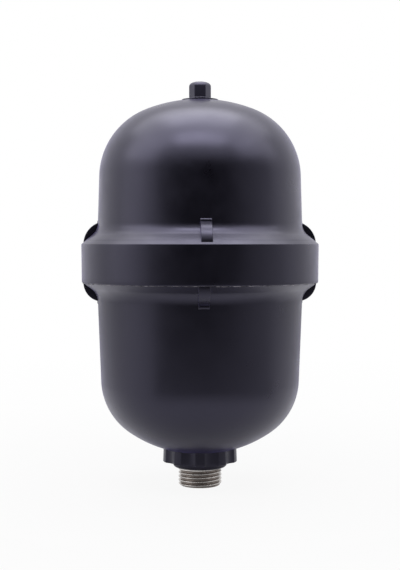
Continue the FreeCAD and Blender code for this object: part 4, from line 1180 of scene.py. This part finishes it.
class BuildStage(bpy.types.Operator):
    """Pale floor, white room, softboxes, a dark front screen with painted glow for reflections, and the
    camera
    """

    bl_idname = "tank.stage"
    bl_label = "Studio"

    def execute(self, context):
        stage, finish = context.scene.tank_stage, context.scene.tank_finish
        self.build_floor(tuple(finish.floor))
        self.build_screen(stage, tuple(finish.screen))
        self.build_world(context)
        middle = (0, 0, 0.12)
        area_light("top_softbox", (0, 0.17, 1.3), middle, (1.0, 0.72), stage.top_light)
        overhead, below = (0, -0.05, 1.34), (0, -0.05, 0)
        area_light("wide_reflector", overhead, below, (2.6, 1.8), stage.wide_light, mirrored_only=True)
        for side in (-1, 1):
            place = (side * 1.15, -0.31, 0.89)
            area_light("side_reflector", place, middle, (1.16, 0.62), stage.side_panels, mirrored_only=True)
        area_light("front_softbox", (0, -0.66, 1.1), middle, (0.95, 0.36), stage.front_light)
        area_light("side_softbox", (-1.2, -0.25, 0.5), middle, (0.7, 1.2), stage.side_light)
        self.build_camera(context, stage)
        context.scene.view_settings.view_transform = "Standard"
        return {"FINISHED"}

    def build_camera(self, context, stage):
        camera = bpy.data.cameras.new("photo_camera")
        camera.lens, camera.sensor_width, camera.shift_y = stage.lens, 36.0, stage.shift
        camera.clip_start, camera.clip_end = 0.01, 100
        eye = link("photo_camera", camera)
        eye.location = (0, -stage.distance, stage.eye)
        eye.rotation_euler = (math.pi / 2, 0, 0)
        context.scene.camera = eye

    def build_floor(self, base):
        reach, gap = 30.0, 0.02 * MM
        mesh = bpy.data.meshes.new("studio_floor")
        corners = [(-reach, -reach, 0), (reach, -reach, 0), (reach, reach, 0), (-reach, reach, 0)]
        mesh.from_pydata(corners, [], [(0, 1, 2, 3)])
        floor = link("studio_floor", mesh)
        floor.location.z = CAD_BOX[0].z - gap
        shade = Shade("studio_floor", base, 0.6)
        shade.drive("Roughness", shade.spread(shade.clouds(scale=3.0), (0.3, 0.7), (0.55, 0.65)))
        shade.bump((shade.clouds(scale=400.0), 0.02, 0.05 * MM))
        away, path = shade.radius(), shade.add("ShaderNodeLightPath").outputs
        by_camera = shade.reckon("MULTIPLY", shade.curve(away, FLOOR_SEEN), path["Is Camera Ray"])
        # Painted reflection: to gloss rays the floor glows white by FLOOR_MIRRORED, on top of its own lit
        # colour.
        by_gloss = shade.reckon("MULTIPLY", shade.curve(away, FLOOR_MIRRORED), path["Is Glossy Ray"])
        mix = shade.add("ShaderNodeMixShader")
        shade.join(shade.reckon("ADD", by_camera, by_gloss), mix.inputs["Fac"])
        shade.join(shade.shader.outputs["BSDF"], mix.inputs[1])
        shade.join(shade.add("ShaderNodeEmission").outputs["Emission"], mix.inputs[2])
        shade.surface(mix.outputs["Shader"])
        dress(floor, shade.material)

    def build_screen(self, stage, base):
        """A dark curved screen and apron in front, unseen by the camera, whose painted glow, bright near the
        tank and dark farther out, shows only in reflections and darkens the tank's middle.
        """
        count, level = 48, CAD_BOX[0].z + 1 * MM
        first, last = math.radians(-138), math.radians(-5)
        near, far = stage.screen_near, stage.screen_far
        points, faces = [], []
        for radius, height in ((near, level), (far, level), (far, stage.screen_top)):
            points += [(x, y, height) for x, y in arc((0, 0), radius, first, last, count)]
        for row in (0, count + 1):
            for low in range(row, row + count):
                high = low + count + 1
                faces.append((low, low + 1, high + 1, high))
        mesh = bpy.data.meshes.new("front_screen")
        mesh.from_pydata(points, [], faces)
        screen = link("front_screen", mesh)
        shade = Shade("front_screen", base, 0.9)
        axes = shade.axes()
        # Painted reflection: the screen glows by radius, to the right, to the left and along its apron, seen
        # only in gloss.
        middle = shade.curve(shade.radius(), SCREEN_GLOW)
        right = shade.spread(axes["X"], (0.4, 0.8), (0.0, 0.6))
        left = shade.spread(axes["X"], (-0.25, -0.6), (0.0, 0.35))
        near_floor = shade.spread(axes["Z"], (level + 0.005, level + 0.08), (1.0, 0.0))
        apron = shade.reckon("MULTIPLY", near_floor, shade.curve(axes["X"], APRON_GLOW))
        glow = shade.add("ShaderNodeEmission")
        shade.join(shade.reckon("ADD", middle, right, left, apron), glow.inputs["Strength"])
        shade.surface(glow.outputs["Emission"])
        dress(screen, shade.material)
        screen.visible_camera = False
        screen.visible_shadow = False
        screen.visible_diffuse = False

    def build_world(self, context):
        """White to the camera, gloss and glass, and a weak light on everything else."""
        world = bpy.data.worlds.new("white_room")
        context.scene.world = world
        world.use_nodes = True
        tree = world.node_tree
        path = tree.nodes.new("ShaderNodeLightPath").outputs
        seen = path["Is Camera Ray"]
        for ray in ("Is Glossy Ray", "Is Transmission Ray"):
            either = tree.nodes.new("ShaderNodeMath")
            either.operation = "MAXIMUM"
            tree.links.new(seen, either.inputs[0])
            tree.links.new(path[ray], either.inputs[1])
            seen = either.outputs["Value"]
        level = tree.nodes.new("ShaderNodeMapRange")
        level.inputs["To Min"].default_value = context.scene.tank_stage.room
        level.inputs["To Max"].default_value = 1.0
        tree.links.new(seen, level.inputs["Value"])
        room = tree.nodes["Background"]
        room.inputs["Color"].default_value = (1, 1, 1, 1)
        tree.links.new(level.outputs["Result"], room.inputs["Strength"])


OPERATORS = (
    BuildUpperShell,
    BuildLowerShell,
    BuildWeldFlash,
    BuildCollar,
    BuildPort,
    BuildValveStem,
    BuildValveCap,
    BuildValveSpring,
    FinishInnerParts,
    BuildStage,
)

GROUPS = {
    "tank_shell": TankShellSizes,
    "tank_boss": TankBossSizes,
    "tank_upper": TankUpperSizes,
    "tank_lower": TankLowerSizes,
    "tank_port": TankPortSizes,
    "tank_collar": TankCollarSizes,
    "tank_valve": TankValveSizes,
    "tank_finish": TankFinish,
    "tank_stage": TankStage,
}


class TankPanel(bpy.types.Panel):
    """Lists the tank's pieces, sizes and colours"""

    bl_idname = "VIEW3D_PT_tank"
    bl_label = "Expansion tank"
    bl_space_type = "VIEW_3D"
    bl_region_type = "UI"
    bl_category = "Tank"

    def draw(self, context):
        layout = self.layout
        for operator in OPERATORS:
            layout.operator(operator.bl_idname)
        for name, group in GROUPS.items():
            box = layout.box()
            holder = getattr(context.scene, name)
            for key in group.__annotations__:
                box.prop(holder, key)


def register():
    for name, group in GROUPS.items():
        bpy.utils.register_class(group)
        setattr(bpy.types.Scene, name, PointerProperty(type=group))
    for operator in OPERATORS:
        bpy.utils.register_class(operator)
    bpy.utils.register_class(TankPanel)


def unregister():
    bpy.utils.unregister_class(TankPanel)
    for operator in reversed(OPERATORS):
        bpy.utils.unregister_class(operator)
    for name, group in GROUPS.items():
        delattr(bpy.types.Scene, name)
        bpy.utils.unregister_class(group)


def main():
    register()
    for operator in OPERATORS:
        family, name = operator.bl_idname.split(".")
        getattr(getattr(bpy.ops, family), name)()


if __name__ == "__main__":
    main()
